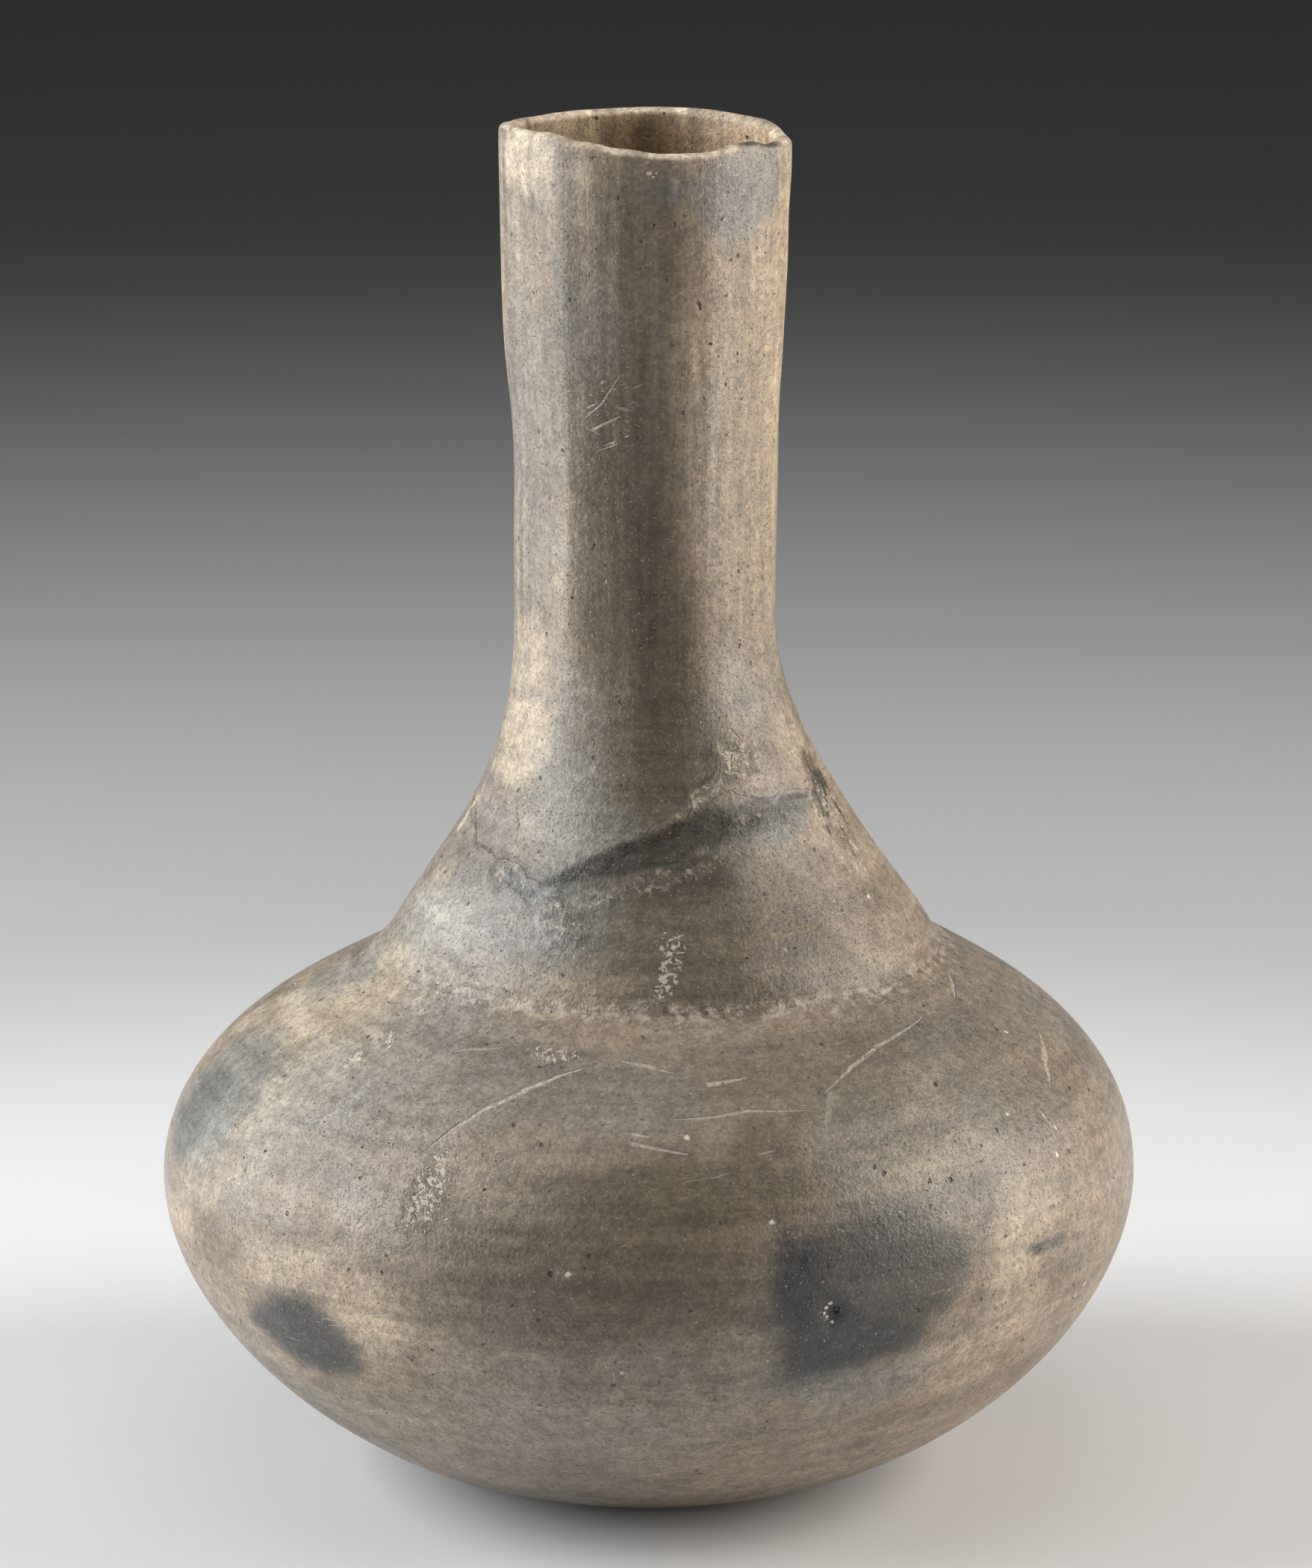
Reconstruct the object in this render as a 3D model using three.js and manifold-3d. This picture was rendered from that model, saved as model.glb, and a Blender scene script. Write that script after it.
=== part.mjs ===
// A long-necked pottery bottle, hand built in four sections that were joined while the clay was soft:
// a rounded bowl, a shoulder, a cone and a tall neck. The neck broke off across the cone long ago
// and was put back with adhesive and a few fills. Millimetres, +Z up, origin at the middle of the
// flat underside. Angles go round the bottle from the front, positive to the right.
import * as THREE from 'three';
import { mergeVertices } from 'three/addons/utils/BufferGeometryUtils.js';
import Module from 'manifold-3d';

// Driving dimensions of the outline, each a height or radius that can be set by itself
const bowlHeight = 53.7;
const shoulderHeight = 40.5;
const coneHeight = 61.4;
const neckHeight = 84.4;
const baseRadius = 24;
const bodyRadius = 86.5;
const creaseRadius = 49.8;
const waistRadius = 23.2;
const mouthRadius = 25.4;

// How full each curve of the outline is, as shares of the stretch that it spans
const baseFullness = 0.476;
const bowlFullness = 0.463;
const shoulderFullness = 0.581;
const shoulderEndFullness = 0.365;
const coneStartFullness = 0.271;
const coneFullness = 0.484;
const waistFullness = 0.614;
const mouthFullness = 0.686;
const shoulderEndSlope = THREE.MathUtils.degToRad(31.4);
const coneStartSlope = THREE.MathUtils.degToRad(63);

// Wall thickness at the middle of the base, the widest point, the crease, the waist and the mouth
const baseWall = 8;
const bodyWall = 6.5;
const creaseWall = 7;
const waistWall = 5.5;
const mouthWall = 3.2;

// Clearance between pieces that touch
const clearance = 0.3;

// Bevelled lap joints between the soft clay sections: how much higher the joint is inside
const bodyLapRise = 5;
const creaseLapRise = 3.5;

// The potter's irregularities
const creaseTilt = 0.8;
const creaseTiltReach = 20;
const coneLean = 1.9;
const neckLean = -0.3;
const leanBlend = 20;
const facetDepth = 0.3;
const facetCount = 7;
const facetTurn = THREE.MathUtils.degToRad(20);
const facetFade = 25;

// Height of the uneven lip above and below the mean mouth plane, by angle
const lipWave = [
  [-75, 0.9], [-46, 1.1], [-26, 0.1], [-11, -0.9], [7, -1.7], [25, -1.7], [41, -0.6], [50, -0.5],
  [62, -1.5], [99, -1.9], [127, -0.9], [159, -0.3], [194, -0.4], [232, -0.5], [257, 0],
];
const lipWaveReach = 30;

// Height of the old break above the crease, by angle, and the fine teeth along it
const breakLine = [
  [-85, 27.2], [-63, 22.0], [-45, 21.4], [-32, 18.2], [-21, 21.1], [-7, 25.8], [5, 28.0], [14, 31.9],
  [26, 34.0], [39, 31.9], [51, 32.1], [62, 31.3], [80, 32.2], [112, 29.8], [142, 27.3], [172, 28.8],
  [202, 25.3], [232, 26.8], [256, 25.5],
];
const breakTooth = 0.35;
const breakToothCount = 9;

// Adhesive film in the break, set back from both faces of the wall
const adhesiveThickness = 0.5;
const adhesiveSetback = 0.5;

// Fills seated in chips beside the break: width at the two ends of each, and depth
const leftPatchStartWidth = 5;
const leftPatchEndWidth = 8;
const leftPatchDepth = 2.2;
const leftCrumbStartWidth = 2.2;
const leftCrumbEndWidth = 2.8;
const leftCrumbDepth = 2;
const frontFillStartWidth = 2.4;
const frontFillEndWidth = 7.8;
const frontFillDepth = 2.4;
const rightFillStartWidth = 2.6;
const rightFillEndWidth = 2.2;
const rightFillDepth = 2;

// Where each fill runs round the bottle, in degrees
const leftPatch = {
  from: -88, to: -47, widthFrom: leftPatchStartWidth, widthTo: leftPatchEndWidth, depth: leftPatchDepth,
};
const leftCrumb = {
  from: -52, to: -30, widthFrom: leftCrumbStartWidth, widthTo: leftCrumbEndWidth, depth: leftCrumbDepth,
};
const frontFill = {
  from: -28, to: 21, widthFrom: frontFillStartWidth, widthTo: frontFillEndWidth, depth: frontFillDepth,
};
const rightFill = {
  from: 41, to: 66, widthFrom: rightFillStartWidth, widthTo: rightFillEndWidth, depth: rightFillDepth,
};
const fillStandProud = 0.05;
const chipOverrun = 1;
const fillStepDegrees = 6;

// Facets round the bottle, and rows of facets up each stretch of wall
const turns = 56;
const bowlRows = 11;
const shoulderRows = 8;
const coneRows = 5;
const neckRows = 16;
const lipRows = 6;

// The four stretches of the outline, and the heights where they meet
const bodyLevel = bowlHeight;
const creaseLevel = bodyLevel + shoulderHeight;
const waistLevel = creaseLevel + coneHeight;
const mouthLevel = waistLevel + neckHeight;

const point = (radius, height) => new THREE.Vector2(radius, height);
const shoulderEndHandle = shoulderEndFullness * shoulderHeight;
const coneStartHandle = coneStartFullness * coneHeight;
const outline = [
  new THREE.CubicBezierCurve(
    point(baseRadius, 0),
    point(baseRadius + baseFullness * (bodyRadius - baseRadius), 0),
    point(bodyRadius, bodyLevel - bowlFullness * bowlHeight),
    point(bodyRadius, bodyLevel),
  ),
  new THREE.CubicBezierCurve(
    point(bodyRadius, bodyLevel),
    point(bodyRadius, bodyLevel + shoulderFullness * shoulderHeight),
    point(
      creaseRadius + shoulderEndHandle * Math.cos(shoulderEndSlope),
      creaseLevel - shoulderEndHandle * Math.sin(shoulderEndSlope),
    ),
    point(creaseRadius, creaseLevel),
  ),
  new THREE.CubicBezierCurve(
    point(creaseRadius, creaseLevel),
    point(
      creaseRadius - coneStartHandle * Math.cos(coneStartSlope),
      creaseLevel + coneStartHandle * Math.sin(coneStartSlope),
    ),
    point(waistRadius, waistLevel - coneFullness * coneHeight),
    point(waistRadius, waistLevel),
  ),
  new THREE.CubicBezierCurve(
    point(waistRadius, waistLevel),
    point(waistRadius, waistLevel + waistFullness * neckHeight),
    point(mouthRadius, mouthLevel - mouthFullness * neckHeight),
    point(mouthRadius, mouthLevel),
  ),
];
const levels = [0, bodyLevel, creaseLevel, waistLevel, mouthLevel];
const walls = [baseWall, bodyWall, creaseWall, waistWall, mouthWall];

// A station is a place along the outline: 0 at the base, 1 at the widest point, 2 at the crease,
// 3 at the waist and 4 at the mouth.
function outside(station) {
  const stretch = Math.min(Math.floor(Math.max(station, 0)), outline.length - 1);
  return outline[stretch].getPoint(THREE.MathUtils.clamp(station - stretch, 0, 1));
}

// Unit vector square to the wall, pointing out, eased over the crease
function facing(station) {
  const ease = 0.06;
  const along = outside(station + ease).sub(outside(station - ease));
  return point(along.y, -along.x).normalize();
}

// A point below the surface, by a depth in mm or by the whole wall
function below(station, depth) {
  return outside(station).addScaledVector(facing(station), -depth);
}

function wallAt(station) {
  const stretch = Math.min(Math.floor(station), walls.length - 2);
  return THREE.MathUtils.lerp(walls[stretch], walls[stretch + 1], station - stretch);
}

function inside(station) {
  return below(station, wallAt(station));
}

function stationAtHeight(height) {
  let low = 0;
  let high = outline.length;
  for (let step = 0; step < 40; step += 1) {
    const middle = (low + high) / 2;
    if (outside(middle).y < height) low = middle;
    else high = middle;
  }
  return (low + high) / 2;
}

// Smooth step from 0 to 1 as a value goes from one end to the other
function ease(value, from, to) {
  return THREE.MathUtils.smoothstep(value, from, to);
}

// Value at an angle in a closed list of [degrees, value], with level tangents at each entry
function roundTheBottle(list, degrees) {
  const start = list[0][0];
  const turned = start + THREE.MathUtils.euclideanModulo(degrees - start, 360);
  const closed = [...list, [start + 360, list[0][1]]];
  const next = closed.findIndex((entry) => entry[0] > turned);
  const [fromAngle, fromValue] = closed[next - 1];
  const [toAngle, toValue] = closed[next];
  return THREE.MathUtils.lerp(fromValue, toValue, ease(turned, fromAngle, toAngle));
}

function breakHeight(degrees) {
  const tooth = breakTooth * Math.sin(breakToothCount * THREE.MathUtils.degToRad(degrees));
  return creaseLevel + roundTheBottle(breakLine, degrees) + tooth;
}

// Moves a point of the true outline to where the potter's hand left it
function handMade(radius, height, degrees) {
  const angle = THREE.MathUtils.degToRad(degrees);
  const tiltShare = 1 - ease(Math.abs(height - creaseLevel), 0, creaseTiltReach);
  const lipShare = ease(height, mouthLevel - lipWaveReach, mouthLevel);
  const intoCone = ease(height, bodyLevel, creaseLevel);
  const intoNeck = ease(height, creaseLevel + leanBlend, waistLevel);
  const lean = THREE.MathUtils.lerp(coneLean, neckLean, intoNeck) * intoCone;
  const facetShare = ease(height, waistLevel - facetFade, waistLevel);
  const facet = facetDepth * Math.cos(facetCount * (angle - facetTurn)) * facetShare;
  const lift = creaseTilt * Math.sin(angle) * tiltShare + roundTheBottle(lipWave, degrees) * lipShare;
  const spread = Math.max(radius + (radius > 0 ? facet : 0), 0);
  return new THREE.Vector3(spread * Math.sin(angle) + lean, height + lift, spread * Math.cos(angle));
}

// Rows of points from one station to another on one face of the wall
function rows(face, from, to, count) {
  return Array.from({ length: count + 1 }, (_, row) => face(THREE.MathUtils.lerp(from, to, row / count)));
}

// Revolves a section that changes round the bottle. A turn starts as a plain revolve of the front
// section, and each of its points is then moved to the section at its own angle.
function revolve(sectionAt) {
  const section = sectionAt(0);
  const turned = new THREE.LatheGeometry(section, turns);
  const place = turned.attributes.position;
  for (let turn = 0; turn <= turns; turn += 1) {
    const degrees = ((turn % turns) * 360) / turns;
    sectionAt(degrees).forEach((spot, row) => {
      const moved = handMade(spot.x, spot.y, degrees);
      place.setXYZ(turn * section.length + row, moved.x, moved.y, moved.z);
    });
  }
  turned.rotateX(Math.PI / 2);
  return turned;
}

// A block of wall beside the break, from a little proud of the outer face down to a depth
function slab(fill, lowerAt, upperAt, proud, depth, overrun) {
  const from = fill.from - overrun;
  const to = fill.to + overrun;
  const steps = Math.ceil((to - from) / fillStepDegrees);
  const plate = new THREE.BoxGeometry(1, 1, 1, steps, 1, 1);
  const place = plate.attributes.position;
  for (let index = 0; index < place.count; index += 1) {
    const degrees = THREE.MathUtils.lerp(from, to, place.getX(index) + 0.5);
    const height = place.getY(index) > 0 ? upperAt(degrees) : lowerAt(degrees);
    const station = stationAtHeight(height);
    const spot = below(station, place.getZ(index) > 0 ? -proud : depth);
    const moved = handMade(spot.x, spot.y, degrees);
    place.setXYZ(index, moved.x, moved.y, moved.z);
  }
  plate.rotateX(Math.PI / 2);
  return plate;
}

function widthAt(fill, degrees) {
  return THREE.MathUtils.mapLinear(degrees, fill.from, fill.to, fill.widthFrom, fill.widthTo);
}

const wasm = await Module();
wasm.setup();

function solidOf(geometry) {
  const bare = geometry.clone();
  bare.deleteAttribute('normal');
  bare.deleteAttribute('uv');
  const merged = mergeVertices(bare, 1e-4);
  const triangles = [];
  for (let corner = 0; corner < merged.index.count; corner += 3) {
    const [a, b, c] = [0, 1, 2].map((step) => merged.index.getX(corner + step));
    if (a !== b && b !== c && c !== a) triangles.push(a, b, c);
  }
  return new wasm.Manifold(new wasm.Mesh({
    numProp: 3,
    vertProperties: new Float32Array(merged.attributes.position.array),
    triVerts: new Uint32Array(triangles),
  }));
}

function geometryOf(solid) {
  const mesh = solid.getMesh();
  const geometry = new THREE.BufferGeometry();
  geometry.setAttribute('position', new THREE.BufferAttribute(mesh.vertProperties, 3));
  geometry.setIndex(new THREE.BufferAttribute(mesh.triVerts, 1));
  geometry.computeVertexNormals();
  return geometry;
}

// Half of the space that the break takes up: the film and a clearance on both sides of it
const breakHalfGap = adhesiveThickness / 2 + clearance;

// Stations of the joints between the soft clay sections
const bodyLapInside = stationAtHeight(bodyLevel + bodyLapRise);
const creaseLapInside = stationAtHeight(creaseLevel + creaseLapRise);
const bodyLapGap = stationAtHeight(bodyLevel + clearance) - 1;
const creaseLapGap = stationAtHeight(creaseLevel + clearance) - 2;

function closed(section) {
  return [...section, section[0].clone()];
}

function lowerBowlSection() {
  return [
    point(0, 0),
    ...rows(outside, 0, 1, bowlRows),
    ...rows(inside, bodyLapInside, 0, bowlRows),
    point(0, baseWall),
  ];
}

function upperBowlSection() {
  return closed([
    ...rows(outside, 1 + bodyLapGap, 2, shoulderRows),
    ...rows(inside, creaseLapInside, bodyLapInside + bodyLapGap, shoulderRows),
  ]);
}

function coneSection(degrees) {
  const top = stationAtHeight(breakHeight(degrees) - breakHalfGap);
  return closed([
    ...rows(outside, 2 + creaseLapGap, top, coneRows),
    ...rows(inside, top, creaseLapInside + creaseLapGap, coneRows),
  ]);
}

function adhesiveSection(degrees) {
  const low = stationAtHeight(breakHeight(degrees) - adhesiveThickness / 2);
  const high = stationAtHeight(breakHeight(degrees) + adhesiveThickness / 2);
  return closed([
    below(low, adhesiveSetback),
    below(high, adhesiveSetback),
    below(high, wallAt(high) - adhesiveSetback),
    below(low, wallAt(low) - adhesiveSetback),
  ]);
}

function neckSection(degrees) {
  const foot = stationAtHeight(breakHeight(degrees) + breakHalfGap);
  const lip = stationAtHeight(mouthLevel - mouthWall / 2);
  const outerLip = outside(lip);
  const innerLip = inside(lip);
  const middle = outerLip.clone().lerp(innerLip, 0.5);
  const round = outerLip.distanceTo(innerLip) / 2;
  const overLip = Array.from({ length: lipRows - 1 }, (_, row) => {
    const swing = (Math.PI * (row + 1)) / lipRows;
    return point(middle.x + round * Math.cos(swing), middle.y + round * Math.sin(swing));
  });
  return closed([
    ...rows(outside, foot, lip, neckRows),
    ...overLip,
    ...rows(inside, lip, foot, neckRows),
  ]);
}

// A fill stops a clearance short of the film in the break
const underBreak = (degrees) => breakHeight(degrees) - breakHalfGap - clearance;
const overBreak = (degrees) => breakHeight(degrees) + breakHalfGap + clearance;

// A fill under the break sits in a chip in the cone's upper edge
function fillUnderBreak(fill) {
  const low = (grow) => (degrees) => underBreak(degrees) - widthAt(fill, degrees) - grow;
  return {
    piece: slab(fill, low(0), underBreak, fillStandProud, fill.depth, 0),
    chip: slab(fill, low(clearance), (degrees) => underBreak(degrees) + chipOverrun,
      chipOverrun, fill.depth + clearance, chipSideGrowth),
  };
}

// A fill over the break sits in a chip in the neck's lower edge
function fillOverBreak(fill) {
  const high = (grow) => (degrees) => overBreak(degrees) + widthAt(fill, degrees) + grow;
  return {
    piece: slab(fill, overBreak, high(0), fillStandProud, fill.depth, 0),
    chip: slab(fill, (degrees) => overBreak(degrees) - chipOverrun, high(clearance),
      chipOverrun, fill.depth + clearance, chipSideGrowth),
  };
}

// The clearance at the ends of a fill, as an angle at the crease's radius
const chipSideGrowth = THREE.MathUtils.radToDeg((3 * clearance) / creaseRadius);

const crumb = fillUnderBreak(leftCrumb);
const front = fillUnderBreak(frontFill);
const right = fillUnderBreak(rightFill);
const patch = fillOverBreak(leftPatch);

const coneSolid = [crumb, front, right].reduce(
  (solid, fill) => solid.subtract(solidOf(fill.chip)),
  solidOf(revolve(coneSection)),
);
const neckSolid = solidOf(revolve(neckSection)).subtract(solidOf(patch.chip));

function clay(color, roughness) {
  return new THREE.MeshStandardMaterial({ color, roughness, metalness: 0 });
}

function piece(name, geometry, material) {
  const mesh = new THREE.Mesh(geometry, material);
  mesh.name = name;
  return mesh;
}

const bottle = new THREE.Group();
bottle.add(
  piece('lower_bowl', revolve(lowerBowlSection), clay(0x8f8073, 0.6)),
  piece('upper_bowl', revolve(upperBowlSection), clay(0x8a7b6e, 0.6)),
  piece('cone_collar', geometryOf(coneSolid), clay(0x7d7268, 0.6)),
  piece('neck', geometryOf(neckSolid), clay(0x8c7d70, 0.6)),
  piece('adhesive_seam', revolve(adhesiveSection), clay(0xb9a37c, 0.4)),
  piece('patch_left', patch.piece, clay(0x75665f, 0.75)),
  piece('crumb_fill_left', crumb.piece, clay(0x8e9196, 0.85)),
  piece('dark_fill_front', front.piece, clay(0x4a443f, 0.7)),
  piece('fill_right', right.piece, clay(0x6c675f, 0.8)),
);

export default bottle;
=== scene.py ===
"""A long-necked pottery bottle: burnished clay with fire clouds, and a neck rejoined along an old break."""
import logging
import math
from dataclasses import dataclass
from enum import Enum
from typing import Callable, Sequence

import bpy
import numpy as np
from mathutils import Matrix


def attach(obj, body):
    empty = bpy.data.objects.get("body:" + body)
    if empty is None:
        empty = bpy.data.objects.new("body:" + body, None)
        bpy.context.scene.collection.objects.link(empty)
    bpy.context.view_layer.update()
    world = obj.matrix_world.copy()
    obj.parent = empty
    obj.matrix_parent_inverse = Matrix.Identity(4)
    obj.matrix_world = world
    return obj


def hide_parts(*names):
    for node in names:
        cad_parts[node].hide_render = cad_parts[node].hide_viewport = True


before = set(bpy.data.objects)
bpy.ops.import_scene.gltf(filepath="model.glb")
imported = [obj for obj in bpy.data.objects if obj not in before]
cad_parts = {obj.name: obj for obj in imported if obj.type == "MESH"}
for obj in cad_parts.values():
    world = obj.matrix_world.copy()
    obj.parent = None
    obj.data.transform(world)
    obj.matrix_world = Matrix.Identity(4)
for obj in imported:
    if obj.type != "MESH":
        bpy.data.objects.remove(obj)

LOG = logging.getLogger("bottle")
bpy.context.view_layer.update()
MM = 0.001
PHOTO_HEIGHT = 2100
Colour = tuple[float, float, float]
Place = tuple[float, float, float]
Dot = tuple[float, float, float]
Edge = Callable[[np.ndarray], np.ndarray]


class Rim(Enum):
    """How the upper end of a section of wall is closed."""

    SQUARE = "square"
    ROUND = "round"


def smooth(value: np.ndarray, low: float, high: float) -> np.ndarray:
    """Smooth step from 0 to 1 as a value goes from low to high."""
    share = np.clip((value - low) / (high - low), 0.0, 1.0)
    return share * share * (3.0 - 2.0 * share)


def turn_from(degrees: np.ndarray, start: float) -> np.ndarray:
    """Angle from a start, the short way round the bottle, in degrees."""
    return np.mod(degrees - start + 180.0, 360.0) - 180.0


@dataclass(frozen=True)
class Outline:
    """The bottle's outline, wall and hand-made unevenness, in millimetres and degrees.

    A station is a place along the outline: 0 at the base, 1 at the widest point, 2 at the crease,
    3 at the waist and 4 at the mouth. Angles go round from the front, positive to the right. A
    fullness is the length of a curve's handle as a share of the stretch that it spans. A tooth of
    the break is its size, how many there are round the bottle, and its start in radians.
    """

    bowl_height: float = 53.7
    shoulder_height: float = 40.5
    cone_height: float = 61.4
    neck_height: float = 84.4
    base_radius: float = 24.0
    body_radius: float = 86.5
    crease_radius: float = 49.8
    waist_radius: float = 23.2
    mouth_radius: float = 25.4
    base_fullness: float = 0.476
    bowl_fullness: float = 0.463
    shoulder_fullness: float = 0.581
    shoulder_end_fullness: float = 0.365
    cone_start_fullness: float = 0.271
    cone_fullness: float = 0.484
    waist_fullness: float = 0.614
    mouth_fullness: float = 0.686
    shoulder_end_slope: float = 31.4
    cone_start_slope: float = 63.0
    walls: tuple[float, ...] = (8.0, 6.5, 7.0, 5.5, 3.2)
    crease_round: tuple[float, ...] = (-0.014, -0.007, 0.0, 0.007, 0.014)
    crease_reach: tuple[float, float] = (0.02, 0.06)
    crease_tilt: float = 0.8
    crease_tilt_reach: float = 20.0
    cone_lean: float = 1.9
    neck_lean: float = -0.3
    lean_blend: float = 20.0
    facet_depth: float = 0.3
    facet_count: int = 7
    facet_turn: float = 20.0
    facet_fade: float = 25.0
    lip_wave_reach: float = 30.0
    lip_wave: tuple[tuple[float, float], ...] = (
        (-75, 0.9), (-46, 1.1), (-26, 0.1), (-11, -0.9), (7, -1.7), (25, -1.7), (41, -0.6), (50, -0.5),
        (62, -1.5), (99, -1.9), (127, -0.9), (159, -0.3), (194, -0.4), (232, -0.5), (257, 0))
    break_line: tuple[tuple[float, float], ...] = (
        (-85, 27.2), (-63, 22.0), (-45, 21.4), (-32, 18.2), (-21, 21.1), (-7, 25.8), (5, 28.0),
        (14, 31.9), (26, 34.0), (39, 31.9), (51, 32.1), (62, 31.3), (80, 32.2), (112, 29.8),
        (142, 27.3), (172, 28.8), (202, 25.3), (232, 26.8), (256, 25.5))
    break_teeth: tuple[tuple[float, int, float], ...] = (
        (0.35, 9, 0.0), (0.16, 31, 1.0), (0.12, 53, 2.0), (0.08, 97, 0.0))

    @property
    def crease(self) -> float:
        """Height of the crease at the foot of the cone."""
        return self.bowl_height + self.shoulder_height

    @property
    def waist(self) -> float:
        """Height of the narrowest part of the neck."""
        return self.crease + self.cone_height

    @property
    def mouth(self) -> float:
        """Mean height of the lip."""
        return self.waist + self.neck_height

    def curves(self) -> np.ndarray:
        """Works out the four stretches of the outline.

        Returns:
            Four control points of radius and height for each stretch, from the base up.
        """
        down = self.shoulder_end_fullness * self.shoulder_height
        up = self.cone_start_fullness * self.cone_height
        low, steep = math.radians(self.shoulder_end_slope), math.radians(self.cone_start_slope)
        body, crease = (self.body_radius, self.bowl_height), (self.crease_radius, self.crease)
        waist, mouth = (self.waist_radius, self.waist), (self.mouth_radius, self.mouth)
        return np.array([
            [(self.base_radius, 0.0),
             (self.base_radius + self.base_fullness * (self.body_radius - self.base_radius), 0.0),
             (self.body_radius, self.bowl_height * (1 - self.bowl_fullness)), body],
            [body, (self.body_radius, self.bowl_height + self.shoulder_fullness * self.shoulder_height),
             (self.crease_radius + down * math.cos(low), self.crease - down * math.sin(low)), crease],
            [crease, (self.crease_radius - up * math.cos(steep), self.crease + up * math.sin(steep)),
             (self.waist_radius, self.waist - self.cone_fullness * self.cone_height), waist],
            [waist, (self.waist_radius, self.waist + self.waist_fullness * self.neck_height),
             (self.mouth_radius, self.mouth - self.mouth_fullness * self.neck_height), mouth]])

    def on_curve(self, station: np.ndarray) -> np.ndarray:
        """Finds points on the plain curves, whose crease is sharp.

        Args:
            station: Places along the outline, 0 to 4.

        Returns:
            An array whose last axis holds radius and height.
        """
        stretch = np.minimum(station.astype(int), 3)
        share = (station - stretch)[..., None]
        knots = self.curves()[stretch]
        rest = 1.0 - share
        return (rest ** 3 * knots[..., 0, :] + 3 * rest ** 2 * share * knots[..., 1, :]
                + 3 * rest * share ** 2 * knots[..., 2, :] + share ** 3 * knots[..., 3, :])

    def outside(self, station: np.ndarray) -> np.ndarray:
        """Finds points on the outer face, whose crease is slightly rounded.

        Args:
            station: Places along the outline, 0 to 4.

        Returns:
            An array whose last axis holds radius and height.
        """
        station = np.clip(np.asarray(station, dtype=float), 0.0, 4.0)
        near_crease = 1 - smooth(np.abs(station - 2.0), *self.crease_reach)[..., None]
        eased = sum(self.on_curve(np.clip(station + step, 0.0, 4.0)) for step in self.crease_round)
        return self.on_curve(station) * (1 - near_crease) + eased / len(self.crease_round) * near_crease

    def below(self, station: np.ndarray, depth: np.ndarray) -> np.ndarray:
        """Finds points at a depth under the outer face, square to the wall.

        Args:
            station: Places along the outline, 0 to 4.
            depth: How far each point lies under the face.

        Returns:
            An array whose last axis holds radius and height.
        """
        ease = 0.06
        along = self.outside(station + ease) - self.outside(station - ease)
        facing = np.stack([along[..., 1], -along[..., 0]], axis=-1)
        facing /= np.linalg.norm(facing, axis=-1, keepdims=True)
        return self.outside(station) - facing * np.asarray(depth)[..., None]

    def wall(self, station: np.ndarray) -> np.ndarray:
        """Thickness of the wall at a station."""
        return np.interp(station, range(len(self.walls)), self.walls)

    def station_at(self, height: np.ndarray) -> np.ndarray:
        """Station on the outer face at a height."""
        stations = np.linspace(0.0, 4.0, 4001)
        return np.interp(height, self.outside(stations)[:, 1], stations)

    @staticmethod
    def round_the_bottle(stops: Sequence[tuple[float, float]], degrees: np.ndarray) -> np.ndarray:
        """Reads a closed list of values round the bottle, level at each of its stops.

        Args:
            stops: Angles and values, in order.
            degrees: The angles to read at.

        Returns:
            The value at each angle.
        """
        start = stops[0][0]
        turned = start + np.mod(np.asarray(degrees) - start, 360.0)
        angles = np.array([stop[0] for stop in stops] + [start + 360.0])
        values = np.array([stop[1] for stop in stops] + [stops[0][1]])
        at = np.clip(np.searchsorted(angles, turned, side="right"), 1, len(angles) - 1)
        share = (turned - angles[at - 1]) / (angles[at] - angles[at - 1])
        share = share * share * (3.0 - 2.0 * share)
        return values[at - 1] + (values[at] - values[at - 1]) * share

    def break_height(self, degrees: np.ndarray) -> np.ndarray:
        """Height of the old break at an angle, with its fine teeth."""
        turn = np.radians(degrees)
        teeth = sum(size * np.sin(count * turn + start) for size, count, start in self.break_teeth)
        return self.crease + self.round_the_bottle(self.break_line, degrees) + teeth

    def hand_made(self, spot: np.ndarray, degrees: np.ndarray) -> np.ndarray:
        """Moves points of the true outline to where the potter's hand left them.

        Args:
            spot: Radius and height of each point.
            degrees: Angle of each point.

        Returns:
            Places in metres.
        """
        radius, height = spot[..., 0], spot[..., 1]
        turn = np.radians(degrees)
        near_crease = 1 - smooth(np.abs(height - self.crease), 0, self.crease_tilt_reach)
        tilt = self.crease_tilt * np.sin(turn) * near_crease
        near_lip = smooth(height, self.mouth - self.lip_wave_reach, self.mouth)
        lip = self.round_the_bottle(self.lip_wave, degrees) * near_lip
        into_neck = smooth(height, self.crease + self.lean_blend, self.waist)
        lean = self.cone_lean + (self.neck_lean - self.cone_lean) * into_neck
        lean = lean * smooth(height, self.bowl_height, self.crease)
        facet = self.facet_depth * np.cos(self.facet_count * (turn - math.radians(self.facet_turn)))
        facet = facet * smooth(height, self.waist - self.facet_fade, self.waist)
        spread = np.where(radius > 0.01, np.maximum(radius + facet, 0.0), 0.0)
        return np.stack([spread * np.sin(turn) + lean, -spread * np.cos(turn), height + tilt + lip],
                        axis=-1) * MM


@dataclass(frozen=True)
class Dent:
    """A hollow, or with a negative depth a rise, in the outer face, in degrees and millimetres."""

    degrees: float
    height: float
    wide: float
    tall: float
    depth: float

    def at(self, degrees: np.ndarray, spot: np.ndarray) -> np.ndarray:
        """Works out how deep the dent is at each point.

        Args:
            degrees: Angle of each point.
            spot: Radius and height of each point.

        Returns:
            Depths in millimetres.
        """
        aside = np.radians(turn_from(degrees, self.degrees)) * spot[..., 0] / self.wide
        up = (spot[..., 1] - self.height) / self.tall
        return self.depth * np.exp(-2.0 * (aside ** 2 + up ** 2) ** 1.5)


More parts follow.
